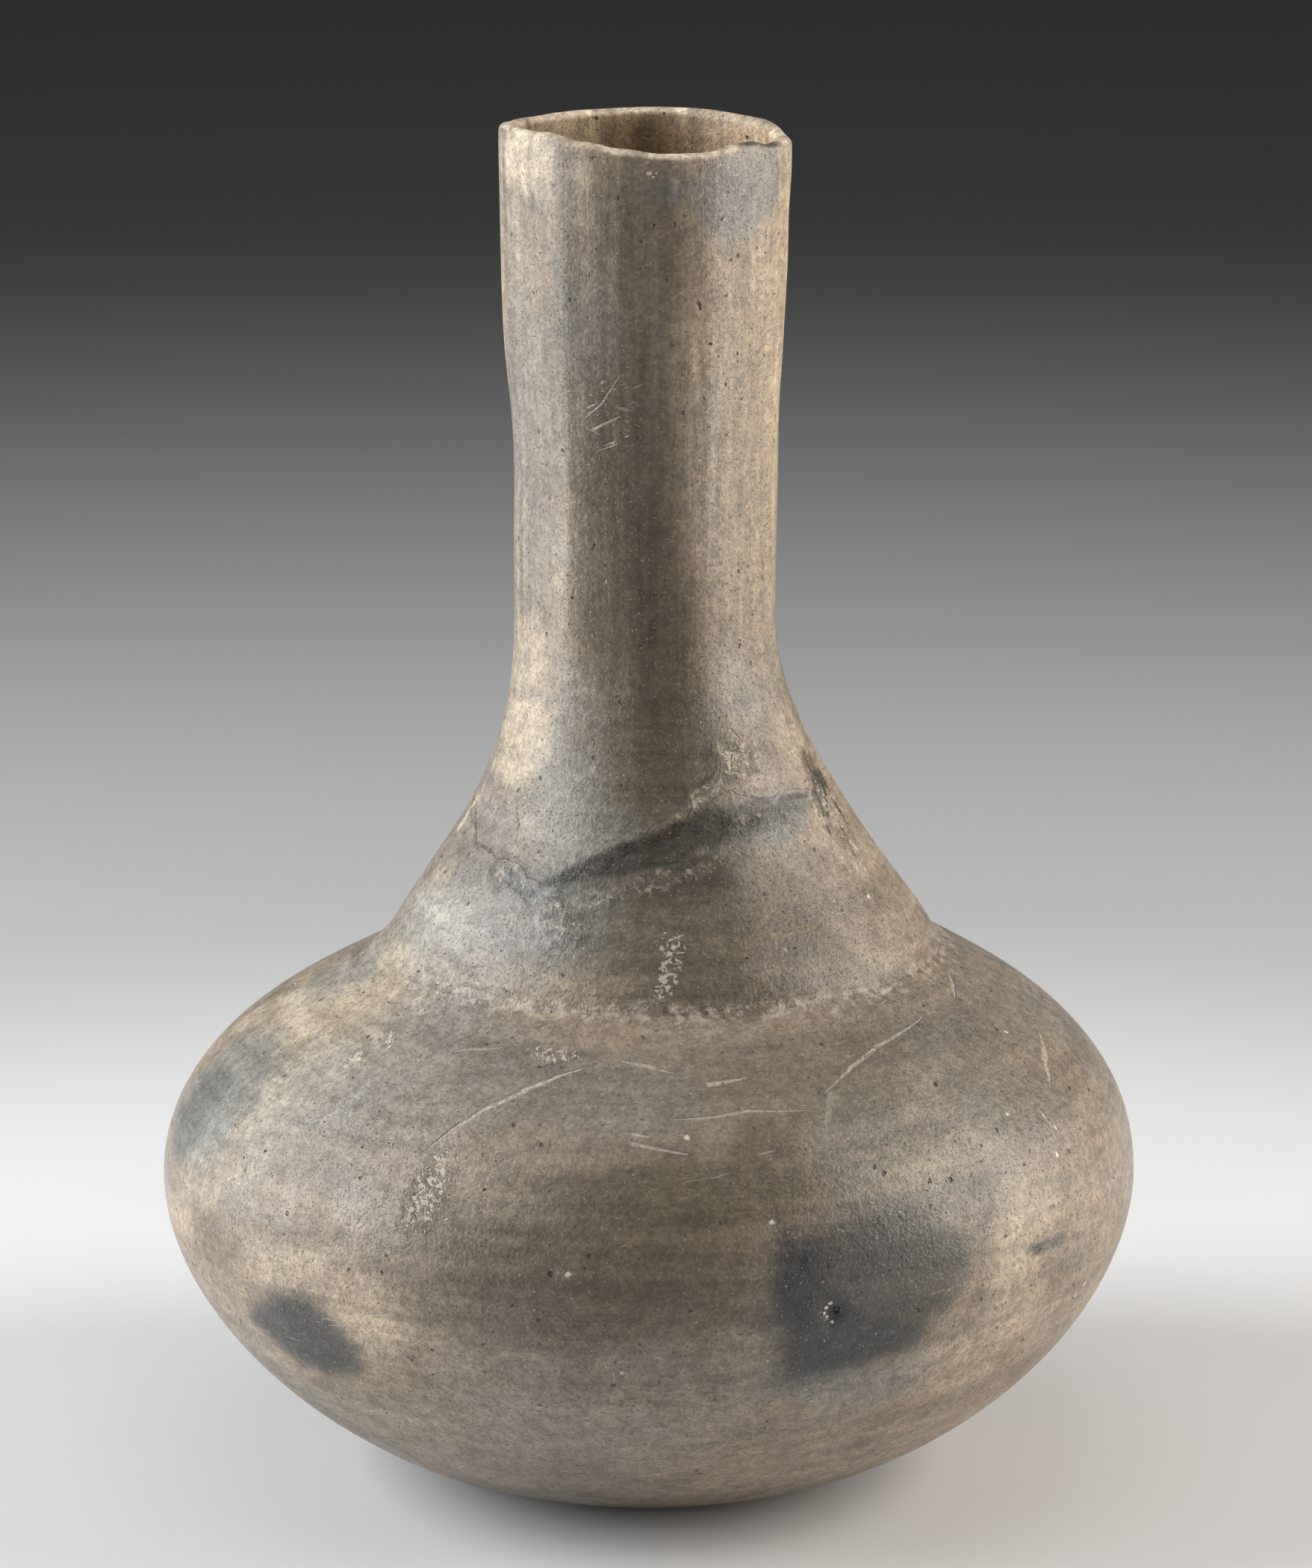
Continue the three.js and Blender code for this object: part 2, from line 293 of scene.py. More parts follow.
@dataclass(frozen=True)
class Flat:
    """A long flat that burnishing left up the neck: angle, half width in degrees, and how flat it is."""

    degrees: float
    half: float
    share: float
    drift: float = 2.5
    drift_length: float = 26.0
    foot: tuple[float, float] = (118.0, 140.0)
    head: tuple[float, float] = (224.0, 236.0)

    def at(self, degrees: np.ndarray, spot: np.ndarray) -> np.ndarray:
        """Works out how far the flat cuts under the round neck.

        Args:
            degrees: Angle of each point.
            spot: Radius and height of each point.

        Returns:
            Depths in millimetres.
        """
        drift = self.drift * np.sin(spot[..., 1] / self.drift_length + self.degrees)
        aside = np.abs(turn_from(degrees, self.degrees + drift))
        chord = 1 - math.cos(math.radians(self.half)) / np.cos(np.radians(np.minimum(aside, self.half)))
        along = smooth(spot[..., 1], *self.foot) * (1 - smooth(spot[..., 1], *self.head))
        return self.share * chord * spot[..., 0] * along


OUTLINE = Outline()
DENTS = (
    Dent(21, 50.9, 2.0, 2.6, 1.1), Dent(-11, 59.1, 1.2, 1.1, 0.4), Dent(-42, 24, 7, 1.2, 0.5),
    Dent(-33, 22, 4, 1.2, 0.6), Dent(-60, 56.0, 40, 1.6, 0.22), Dent(-76, 114, 6, 6, 0.7),
    Dent(60, 121, 7, 3, 0.5), Dent(70, 117, 5, 7, 0.5), Dent(-27.5, 69.5, 4.5, 6.5, 0.14),
    Dent(54, 239, 8, 3, 0.9), Dent(-62, 239.5, 9, 3.5, 1.0), Dent(14, 236, 6, 2, 0.3),
    Dent(-68, 122, 9, 5, 0.4), Dent(-25, 232, 9, 10, 0.25), Dent(80, 200, 7, 18, 0.4),
    Dent(-80, 185, 7, 16, 0.3), Dent(170, 205, 9, 20, 0.4), Dent(130, 110, 9, 5, 0.4))
FLATS = (
    Flat(-57, 22, 0.4), Flat(-22, 13, 0.5), Flat(8, 16, 0.14), Flat(44, 20, 0.2), Flat(88, 20, 0.3),
    Flat(140, 24, 0.18), Flat(-170, 22, 0.2), Flat(-112, 24, 0.25))


def lumps(degrees: np.ndarray, height: np.ndarray) -> np.ndarray:
    """Works out the slight hollows that paddling and burnishing left, which never reach outwards.

    A wave is its size, how many there are round the bottle, its climb in radians for a millimetre
    of height, and its start in radians.

    Args:
        degrees: Angle of each point.
        height: Height of each point.

    Returns:
        Depths in millimetres.
    """
    size_of_all = 0.07
    waves = ((1.0, 3, 0.035, 0.0), (1.0, 5, -0.06, 1.3), (0.5, 11, 0.11, 0.4), (0.6, 2, 0.16, 0.0))
    turn = np.radians(degrees)
    wave = sum(size * np.sin(count * turn + height * climb + start) for size, count, climb, start in waves)
    return size_of_all * (wave + sum(size for size, *_ in waves))


def crease_fill(degrees: np.ndarray, spot: np.ndarray) -> np.ndarray:
    """Works out how much clay the potter smoothed into the crease, all down the left side.

    Args:
        degrees: Angle of each point.
        spot: Radius and height of each point.

    Returns:
        Heights above the true outline, in millimetres.
    """
    reach, fullness = 5.0, 0.28
    fall_up, fall_down = 1.12, 1.92
    left, full_to, gone_at = -90.0, 42.0, 66.0
    up = spot[..., 1] - OUTLINE.crease
    away = np.where(up > 0, fall_up * up, -fall_down * up)
    side = 1 - smooth(np.abs(turn_from(degrees, left)), full_to, gone_at)
    return fullness * np.maximum(reach - away, 0.0) ** 2 / (2 * reach) * side


def skin_depth(degrees: np.ndarray, spot: np.ndarray) -> np.ndarray:
    """Works out how far the finished face lies under the true outline.

    Args:
        degrees: Angle of each point.
        spot: Radius and height of each point.

    Returns:
        Depths in millimetres, none at the flat base.
    """
    above_base = smooth(spot[..., 1], 2.0, 12.0)
    depth = lumps(degrees, spot[..., 1]) + sum(dent.at(degrees, spot) for dent in DENTS)
    depth = depth - crease_fill(degrees, spot)
    return above_base * (depth + sum(flat.at(degrees, spot) for flat in FLATS))


def surface_point(degrees: float, height: float) -> Place:
    """Finds a place on the finished outer face.

    Args:
        degrees: Angle of the place.
        height: Height of the place, in millimetres.

    Returns:
        The place in metres.
    """
    turn, level = np.array([float(degrees)]), np.array([float(height)])
    station = OUTLINE.station_at(level)
    spot = OUTLINE.below(station, skin_depth(turn, OUTLINE.outside(station)))
    return tuple(float(value) for value in OUTLINE.hand_made(spot, turn)[0])


@dataclass(frozen=True)
class Seat:
    """Where a fill sits beside the break: its angles, its width at both ends and its depth."""

    start: float
    end: float
    width_start: float
    width_end: float
    depth: float
    above: bool
    gap: float = 0.85

    def band(self, degrees: np.ndarray) -> tuple[np.ndarray, np.ndarray]:
        """Finds the fill's lower and upper edge.

        Args:
            degrees: The angles to find them at.

        Returns:
            The lower and the upper height at each angle.
        """
        across = np.clip((degrees - self.start) / (self.end - self.start), 0.0, 1.0)
        width = self.width_start + (self.width_end - self.width_start) * across
        ends = np.sqrt(np.clip(1 - np.abs(2 * across - 1) ** 6, 0, 1)) * 0.9 + 0.1
        reach = width * ends * (1 + 0.09 * np.sin(across * 17) + 0.05 * np.sin(across * 39 + 1))
        near = OUTLINE.break_height(degrees)
        if self.above:
            return near + self.gap, near + self.gap + reach
        return near - self.gap - reach, near - self.gap

    def chip(self, degrees: np.ndarray, spot: np.ndarray) -> np.ndarray:
        """Works out how deep the chip is that the fill sits in.

        Args:
            degrees: Angle of each point of the wall.
            spot: Radius and height of each point.

        Returns:
            Depths in millimetres.
        """
        turned = turn_from(degrees, 0.0)
        low, high = self.band(turned)
        edge = np.minimum(spot[..., 1] - low, high - spot[..., 1])
        side = np.radians(np.minimum(turned - self.start, self.end - turned)) * spot[..., 0]
        return self.depth * 0.6 * smooth(np.minimum(edge, side), 0.1, 1.8)


LEFT_PATCH = Seat(-88, -47, 5, 8, 2.0, True)
LEFT_CRUMB = Seat(-52, -30, 2.2, 2.8, 1.8, False)
FRONT_FILL = Seat(-28, 21, 2.4, 7.8, 2.2, False)
RIGHT_FILL = Seat(41, 66, 2.6, 2.2, 1.8, False)


def roll_slab(name: str, turns: int, rows: int,
              place: Callable[[np.ndarray, np.ndarray], np.ndarray]) -> bpy.types.Object:
    """Rolls a flat slab into a ring of wall or bends it into a pad, joins its edges and smooths it.

    Args:
        name: Name of the piece.
        turns: Faces across the slab, which go round the bottle.
        rows: Faces up the slab, which go round the section of the wall.
        place: Gives places in metres from shares of the slab across and up.

    Returns:
        The finished object, at the origin.
    """
    bpy.ops.object.select_all(action="DESELECT")
    bpy.ops.mesh.primitive_grid_add(x_subdivisions=turns, y_subdivisions=rows, size=1.0)
    slab = bpy.context.active_object
    slab.name = slab.data.name = name
    flat = np.empty(len(slab.data.vertices) * 3)
    slab.data.vertices.foreach_get("co", flat)
    across, up = flat.reshape(-1, 3)[:, 0] + 0.5, flat.reshape(-1, 3)[:, 1] + 0.5
    slab.data.vertices.foreach_set("co", place(across, up).ravel())
    slab.data.update()
    bpy.ops.object.mode_set(mode="EDIT")
    bpy.ops.mesh.select_all(action="SELECT")
    bpy.ops.mesh.remove_doubles(threshold=2e-6)
    bpy.ops.mesh.normals_make_consistent(inside=False)
    bpy.ops.object.mode_set(mode="OBJECT")
    bpy.ops.object.shade_smooth_by_angle(angle=math.radians(42))
    return slab


@dataclass
class Section:
    """One ring of wall, built as a piece that replaces its node.

    low and high give the heights of the two ends by angle, and inner_low and inner_high how much
    higher each end is inside. sunk is how far the piece lies under its neighbours' face.
    """

    name: str
    low: Edge
    high: Edge
    turns: int
    outer_rows: int
    inner_rows: int
    inner_low: float = 0.0
    inner_high: float = 0.0
    end_rows: int = 4
    rim: Rim = Rim.SQUARE
    closed_base: bool = False
    seats: tuple[Seat, ...] = ()
    sunk: float = 0.0

    def stretches(self) -> tuple[np.ndarray, np.ndarray]:
        """Lists the rows that go round the section: up the outside, across the top and down the inside.

        Returns:
            Each row's share of the way up, and its share of the wall's depth.
        """
        outer = np.linspace(0, 1, self.outer_rows + 1)
        inner = np.linspace(1, 0, self.inner_rows + 1)
        across = np.linspace(0, 1, self.end_rows + 2)[1:-1]
        up = [outer, np.ones(self.end_rows), inner]
        deep = [np.zeros(self.outer_rows + 1), across, np.ones(self.inner_rows + 1)]
        if self.closed_base:
            return np.concatenate([[0.0], *up, [0.0]]), np.concatenate([[0.0], *deep, [1.0]])
        up.append(np.zeros(self.end_rows + 1))
        deep.append(np.append(across[::-1], 0.0))
        return np.concatenate(up), np.concatenate(deep)

    def round_lip(self, degrees: np.ndarray, station: np.ndarray, deep: np.ndarray) -> np.ndarray:
        """Bends the upper end of the wall over in a half circle.

        Args:
            degrees: Angle of each point.
            station: Place of the upper end along the outline, at each point.
            deep: Each point's share of the wall's depth.

        Returns:
            Radius and height of each point of the lip.
        """
        outside = OUTLINE.below(station, skin_depth(degrees, OUTLINE.outside(station)))
        inside = OUTLINE.below(station, OUTLINE.wall(station))
        half = (outside - inside) / 2
        swing = (math.pi * deep)[..., None]
        rise = np.stack([np.zeros_like(deep), np.linalg.norm(half, axis=-1)], axis=-1)
        return (outside + inside) / 2 + half * np.cos(swing) + rise * np.sin(swing)

    def place(self, across: np.ndarray, up: np.ndarray) -> np.ndarray:
        """Places the slab's points in the finished ring.

        Args:
            across: Each point's share of the way round the bottle.
            up: Each point's share of the way round the section.

        Returns:
            Places in metres.
        """
        ways, deeps = self.stretches()
        row = np.rint(up * (len(ways) - 1)).astype(int)
        degrees = np.mod(np.rint(across * self.turns), self.turns) * 360.0 / self.turns
        way, deep = ways[row], deeps[row]
        first = OUTLINE.station_at(self.low(degrees) + self.inner_low * deep)
        last = OUTLINE.station_at(self.high(degrees) + self.inner_high * deep)
        station = first + (last - first) * way
        outer = OUTLINE.outside(station)
        skin = skin_depth(degrees, outer) + self.sunk
        for seat in self.seats:
            skin = skin + seat.chip(degrees, outer)
        spot = OUTLINE.below(station, OUTLINE.wall(station) * deep + (1.0 - deep) * skin)
        if self.rim is Rim.ROUND:
            spot = np.where((way >= 1.0)[..., None], self.round_lip(degrees, last, deep), spot)
        if self.closed_base:
            spot[(row == 0) | (row == len(ways) - 1), 0] = 0.0
        return OUTLINE.hand_made(spot, degrees)

    def build(self) -> bpy.types.Object:
        """Rolls the ring."""
        return roll_slab(self.name, self.turns, len(self.stretches()[0]) - 1, self.place)


@dataclass
class Fill:
    """A pad of filler seated in a chip beside the break."""

    name: str
    seat: Seat
    rough: float
    sunk: float = 0.03
    thick_share: float = 0.4
    columns: int = 120
    rows: int = 24

    def place(self, across: np.ndarray, up: np.ndarray) -> np.ndarray:
        """Places the pad's points on a crumbly face.

        Args:
            across: Each point's share of the way round, from one end of the seat to the other.
            up: Each point's share of the way up.

        Returns:
            Places in metres.
        """
        degrees = self.seat.start + (self.seat.end - self.seat.start) * across
        low, high = self.seat.band(degrees)
        height = low + (high - low) * up
        arc = degrees * 0.6
        grit = self.rough * np.abs(np.sin(arc * 2.3 + height * 1.7) * np.sin(height * 2.9 - arc * 1.1 + 0.5)
                                   + 0.6 * np.sin(arc * 3.7 + height) * np.sin(height * 3.3 + arc * 2.9))
        station = OUTLINE.station_at(height)
        depth = self.sunk + grit + skin_depth(degrees, OUTLINE.outside(station))
        return OUTLINE.hand_made(OUTLINE.below(station, depth), degrees)

    def build(self) -> bpy.types.Object:
        """Shapes the pad and gives it its depth.

        Returns:
            The finished pad.
        """
        pad = roll_slab(self.name, self.columns, self.rows, self.place)
        thick = pad.modifiers.new("thickness", "SOLIDIFY")
        thick.thickness = self.seat.depth * MM * self.thick_share
        thick.offset = -1.0
        bpy.ops.object.modifier_apply(modifier=thick.name)
        return pad


class Value:
    """A shader socket that holds one number and takes plain arithmetic."""

    def __init__(self, nodes: "Nodes", socket: bpy.types.NodeSocket) -> None:
        """Keeps the socket with the tree that it is in."""
        self.nodes = nodes
        self.socket = socket

    def __add__(self, other: "Number") -> "Value":
        """Adds a number or a value."""
        return self.nodes.math("ADD", self, other)

    def __radd__(self, other: float) -> "Value":
        """Adds this to a number."""
        return self.nodes.math("ADD", other, self)

    def __sub__(self, other: "Number") -> "Value":
        """Takes away a number or a value."""
        return self.nodes.math("SUBTRACT", self, other)

    def __rsub__(self, other: float) -> "Value":
        """Takes this away from a number."""
        return self.nodes.math("SUBTRACT", other, self)

    def __mul__(self, other: "Number") -> "Value":
        """Multiplies by a number or a value."""
        return self.nodes.math("MULTIPLY", self, other)

    def __truediv__(self, other: "Number") -> "Value":
        """Divides by a number or a value."""
        return self.nodes.math("DIVIDE", self, other)

    def __abs__(self) -> "Value":
        """Drops the sign."""
        return self.nodes.math("ABSOLUTE", self)

    def most(self, other: "Number") -> "Value":
        """The larger of this and another."""
        return self.nodes.math("MAXIMUM", self, other)


Number = float | Value | bpy.types.NodeSocket
Tint = Colour | Value | bpy.types.NodeSocket


class Nodes:
    """Short ways to add and join shader nodes in one tree."""

    def __init__(self, tree: bpy.types.NodeTree, home: bpy.types.Material | None = None) -> None:
        """Works on a tree that exists, and keeps the material that it is in."""
        self.tree = tree
        self.home = home

    @classmethod
    def of_material(cls, name: str) -> "Nodes":
        """Starts a new material.

        Args:
            name: Name of the material.

        Returns:
            Nodes for its tree, which is empty.
        """
        material = bpy.data.materials.new(name)
        material.use_nodes = True
        material.node_tree.nodes.clear()
        return cls(material.node_tree, material)

    def fill(self, node: bpy.types.Node, inputs: dict[int | str, object]) -> None:
        """Links or sets a node's inputs.

        Args:
            node: The node.
            inputs: What each input gets, by its number or name.
        """
        for key, given in inputs.items():
            if isinstance(given, Value):
                given = given.socket
            if isinstance(given, bpy.types.NodeSocket):
                self.tree.links.new(given, node.inputs[key])
            else:
                node.inputs[key].default_value = given

    def add(self, kind: str, inputs: dict[int | str, object] | None = None,
            **settings: object) -> bpy.types.Node:
        """Adds a node.

        Args:
            kind: Blender's name for its type.
            inputs: What each input gets, by its number or name.
            **settings: Its own settings.

        Returns:
            The node.
        """
        node = self.tree.nodes.new(kind)
        for key, given in settings.items():
            setattr(node, key, given)
        self.fill(node, inputs or {})
        return node

    def value(self, kind: str, inputs: dict[int | str, object], output: int | str = 0,
              **settings: object) -> Value:
        """Adds a node and takes one number from it.

        Args:
            kind: Blender's name for its type.
            inputs: What each input gets, by its number or name.
            output: The output that holds the number.
            **settings: Its own settings.

        Returns:
            The number.
        """
        return Value(self, self.add(kind, inputs, **settings).outputs[output])

    def math(self, operation: str, first: Number, second: Number = 0.0, third: Number = 0.0) -> Value:
        """One Math node's result."""
        return self.value("ShaderNodeMath", {0: first, 1: second, 2: third}, operation=operation)

    def vector(self, operation: str, first: bpy.types.NodeSocket,
               second: Place | bpy.types.NodeSocket = (0, 0, 0), output: int = 0) -> bpy.types.NodeSocket:
        """One Vector Math node's result: output 0 is a vector and output 1 a number."""
        return self.add("ShaderNodeVectorMath", {0: first, 1: second}, operation=operation).outputs[output]

    def attribute(self, name: str) -> Value:
        """A number kept on the mesh."""
        return self.value("ShaderNodeAttribute", {}, "Fac", attribute_name=name)

    def span(self, given: Number, low: float, high: float, start: float = 0.0, end: float = 1.0) -> Value:
        """A value taken smoothly from one span to another."""
        limits = {"Value": given, "From Min": low, "From Max": high, "To Min": start, "To Max": end}
        return self.value("ShaderNodeMapRange", limits, interpolation_type="SMOOTHSTEP")

    def between(self, share: Value, first: Number, second: Number) -> Value:
        """Two numbers mixed."""
        return self.value("ShaderNodeMix", {0: share, 2: first, 3: second})

    def noise(self, where: bpy.types.NodeSocket, scale: float, detail: float = 4.0,
              rough: float = 0.55) -> Value:
        """A noise value at places in metres."""
        settings = {"Vector": where, "Scale": scale, "Detail": detail, "Roughness": rough}
        return self.value("ShaderNodeTexNoise", settings)

    def stretch(self, where: bpy.types.NodeSocket, scale: Place) -> bpy.types.NodeSocket:
        """Places scaled along each axis."""
        return self.add("ShaderNodeMapping", {"Vector": where, "Scale": scale}).outputs[0]

    def mix(self, share: Number, first: Tint, second: Tint, blend: str = "MIX") -> bpy.types.NodeSocket:
        """Mixes two colours.

        Args:
            share: How much of the second shows.
            first: The colour below.
            second: The colour above.
            blend: How they mix.

        Returns:
            The mixed colour.
        """
        below, above = ((*tint, 1.0) if isinstance(tint, tuple) else tint for tint in (first, second))
        settings = {"data_type": "RGBA", "blend_type": blend, "clamp_factor": True}
        return self.add("ShaderNodeMix", {0: share, 6: below, 7: above}, **settings).outputs[2]

    def finish(self, colour: Tint, rough: Number, height: Number, distance: float,
               specular: float) -> bpy.types.Material:
        """Closes the material with a Principled shader and a bump.

        Args:
            colour: Base colour.
            rough: Roughness.
            height: Relief, in steps of distance.
            distance: What a relief of 1 is, in metres.
            specular: Strength of the gloss.

        Returns:
            The material.
        """
        bump = self.add("ShaderNodeBump", {"Height": height, "Strength": 1.0, "Distance": distance})
        shader = self.add("ShaderNodeBsdfPrincipled", {"Base Color": colour, "Roughness": rough,
                                                       "Normal": bump.outputs[0],
                                                       "Specular IOR Level": specular})
        self.add("ShaderNodeOutputMaterial", {"Surface": shader.outputs[0]})
        return self.home


class Tone(Enum):
    """The broad areas of other colour, each kept as an attribute of the mesh."""

    CLOUD = "cloud"
    HAZE = "haze"
    CREAM = "cream"
    BROWN = "brown"
    STAIN = "stain"
    CRUMB = "crumb"
    SCUFF = "scuff"
    ASH = "ash"
    WARM = "warm"


@dataclass(frozen=True)
class Patch:
    """A soft-edged area on the wall: angle, height, half width and half height in mm, lean, strength."""

    degrees: float
    height: float
    wide: float
    tall: float
    lean: float = 0.0
    strength: float = 1.0
    soft: float = 0.5

    def at(self, degrees: np.ndarray, radius: np.ndarray, height: np.ndarray) -> np.ndarray:
        """Works out how strong the patch is.

        Args:
            degrees: Angle of each place.
            radius: Radius of each place.
            height: Height of each place.

        Returns:
            Strength at each place.
        """
        aside = np.radians(turn_from(degrees, self.degrees)) * radius
        up = height - self.height
        lean = math.radians(self.lean)
        along = (aside * math.cos(lean) - up * math.sin(lean)) / self.wide
        over = (aside * math.sin(lean) + up * math.cos(lean)) / self.tall
        return self.strength * (1 - smooth(np.hypot(along, over), 1 - self.soft, 1 + self.soft))


@dataclass(frozen=True)
class Stroke:
    """A scratch, rub or run of stain, as points of angle and height, with its width in mm."""

    points: tuple[tuple[float, float], ...]
    width: float = 0.28
    strength: float = 1.0

    def tapered(self) -> list[tuple[float, float, float]]:
        """Gives the stroke a half width at each point, thin at both ends.

        Returns:
            Angle, height and half width of each point.
        """
        last = len(self.points) - 1
        shares = [1.0, 0.5]
        if last > 1:
            shares = [0.3 + 0.7 * math.sin(math.pi * at / last) for at in range(last + 1)]
        return [(*point, self.width * share) for point, share in zip(self.points, shares)]

    def at(self, degrees: np.ndarray, radius: np.ndarray, height: np.ndarray) -> np.ndarray:
        """Works out how strong the stroke is.

        Args:
            degrees: Angle of each place.
            radius: Radius of each place.
            height: Height of each place.

        Returns:
            Strength at each place.
        """
        total = np.zeros_like(height)
        for (angle_a, height_a), (angle_b, height_b) in zip(self.points, self.points[1:]):
            aside = np.radians(turn_from(degrees, angle_a)) * radius
            run = math.radians(angle_b - angle_a) * radius
            up, rise = height - height_a, height_b - height_a
            share = np.clip((aside * run + up * rise) / (run * run + rise * rise), 0.0, 1.0)
            away = np.hypot(aside - share * run, up - share * rise)
            total = np.maximum(total, 1 - smooth(away, self.width * 0.25, self.width * 1.4))
        return total * self.strength


@dataclass(frozen=True)
class Blot:
    """An area with a drawn outline, as points of angle and height, with a soft edge in mm."""

    points: tuple[tuple[float, float], ...]
    soft: float = 3.0
    strength: float = 1.0

    def at(self, degrees: np.ndarray, radius: np.ndarray, height: np.ndarray) -> np.ndarray:
        """Works out how strong the area is.

        Args:
            degrees: Angle of each place.
            radius: Radius of each place.
            height: Height of each place.

        Returns:
            Strength at each place.
        """
        origin = self.points[0][0]
        turned = turn_from(degrees, origin)
        inside = np.zeros(height.shape, dtype=bool)
        away = np.full(height.shape, 1000.0)
        for (angle_a, height_a), (angle_b, height_b) in zip(self.points, self.points[1:] + self.points[:1]):
            aside = np.radians(turned - (angle_a - origin)) * radius
            run = math.radians(angle_b - angle_a) * radius
            up, rise = height - height_a, height_b - height_a
            share = np.clip((aside * run + up * rise) / (run * run + rise * rise + 1e-9), 0.0, 1.0)
            away = np.minimum(away, np.hypot(aside - share * run, up - share * rise))
            crossing = (height_a > height) != (height_b > height)
            if rise:
                inside ^= crossing & (aside < run * up / rise)
        depth = np.where(inside, away, -away)
        return self.strength * smooth(depth, -self.soft / 2, self.soft / 2)


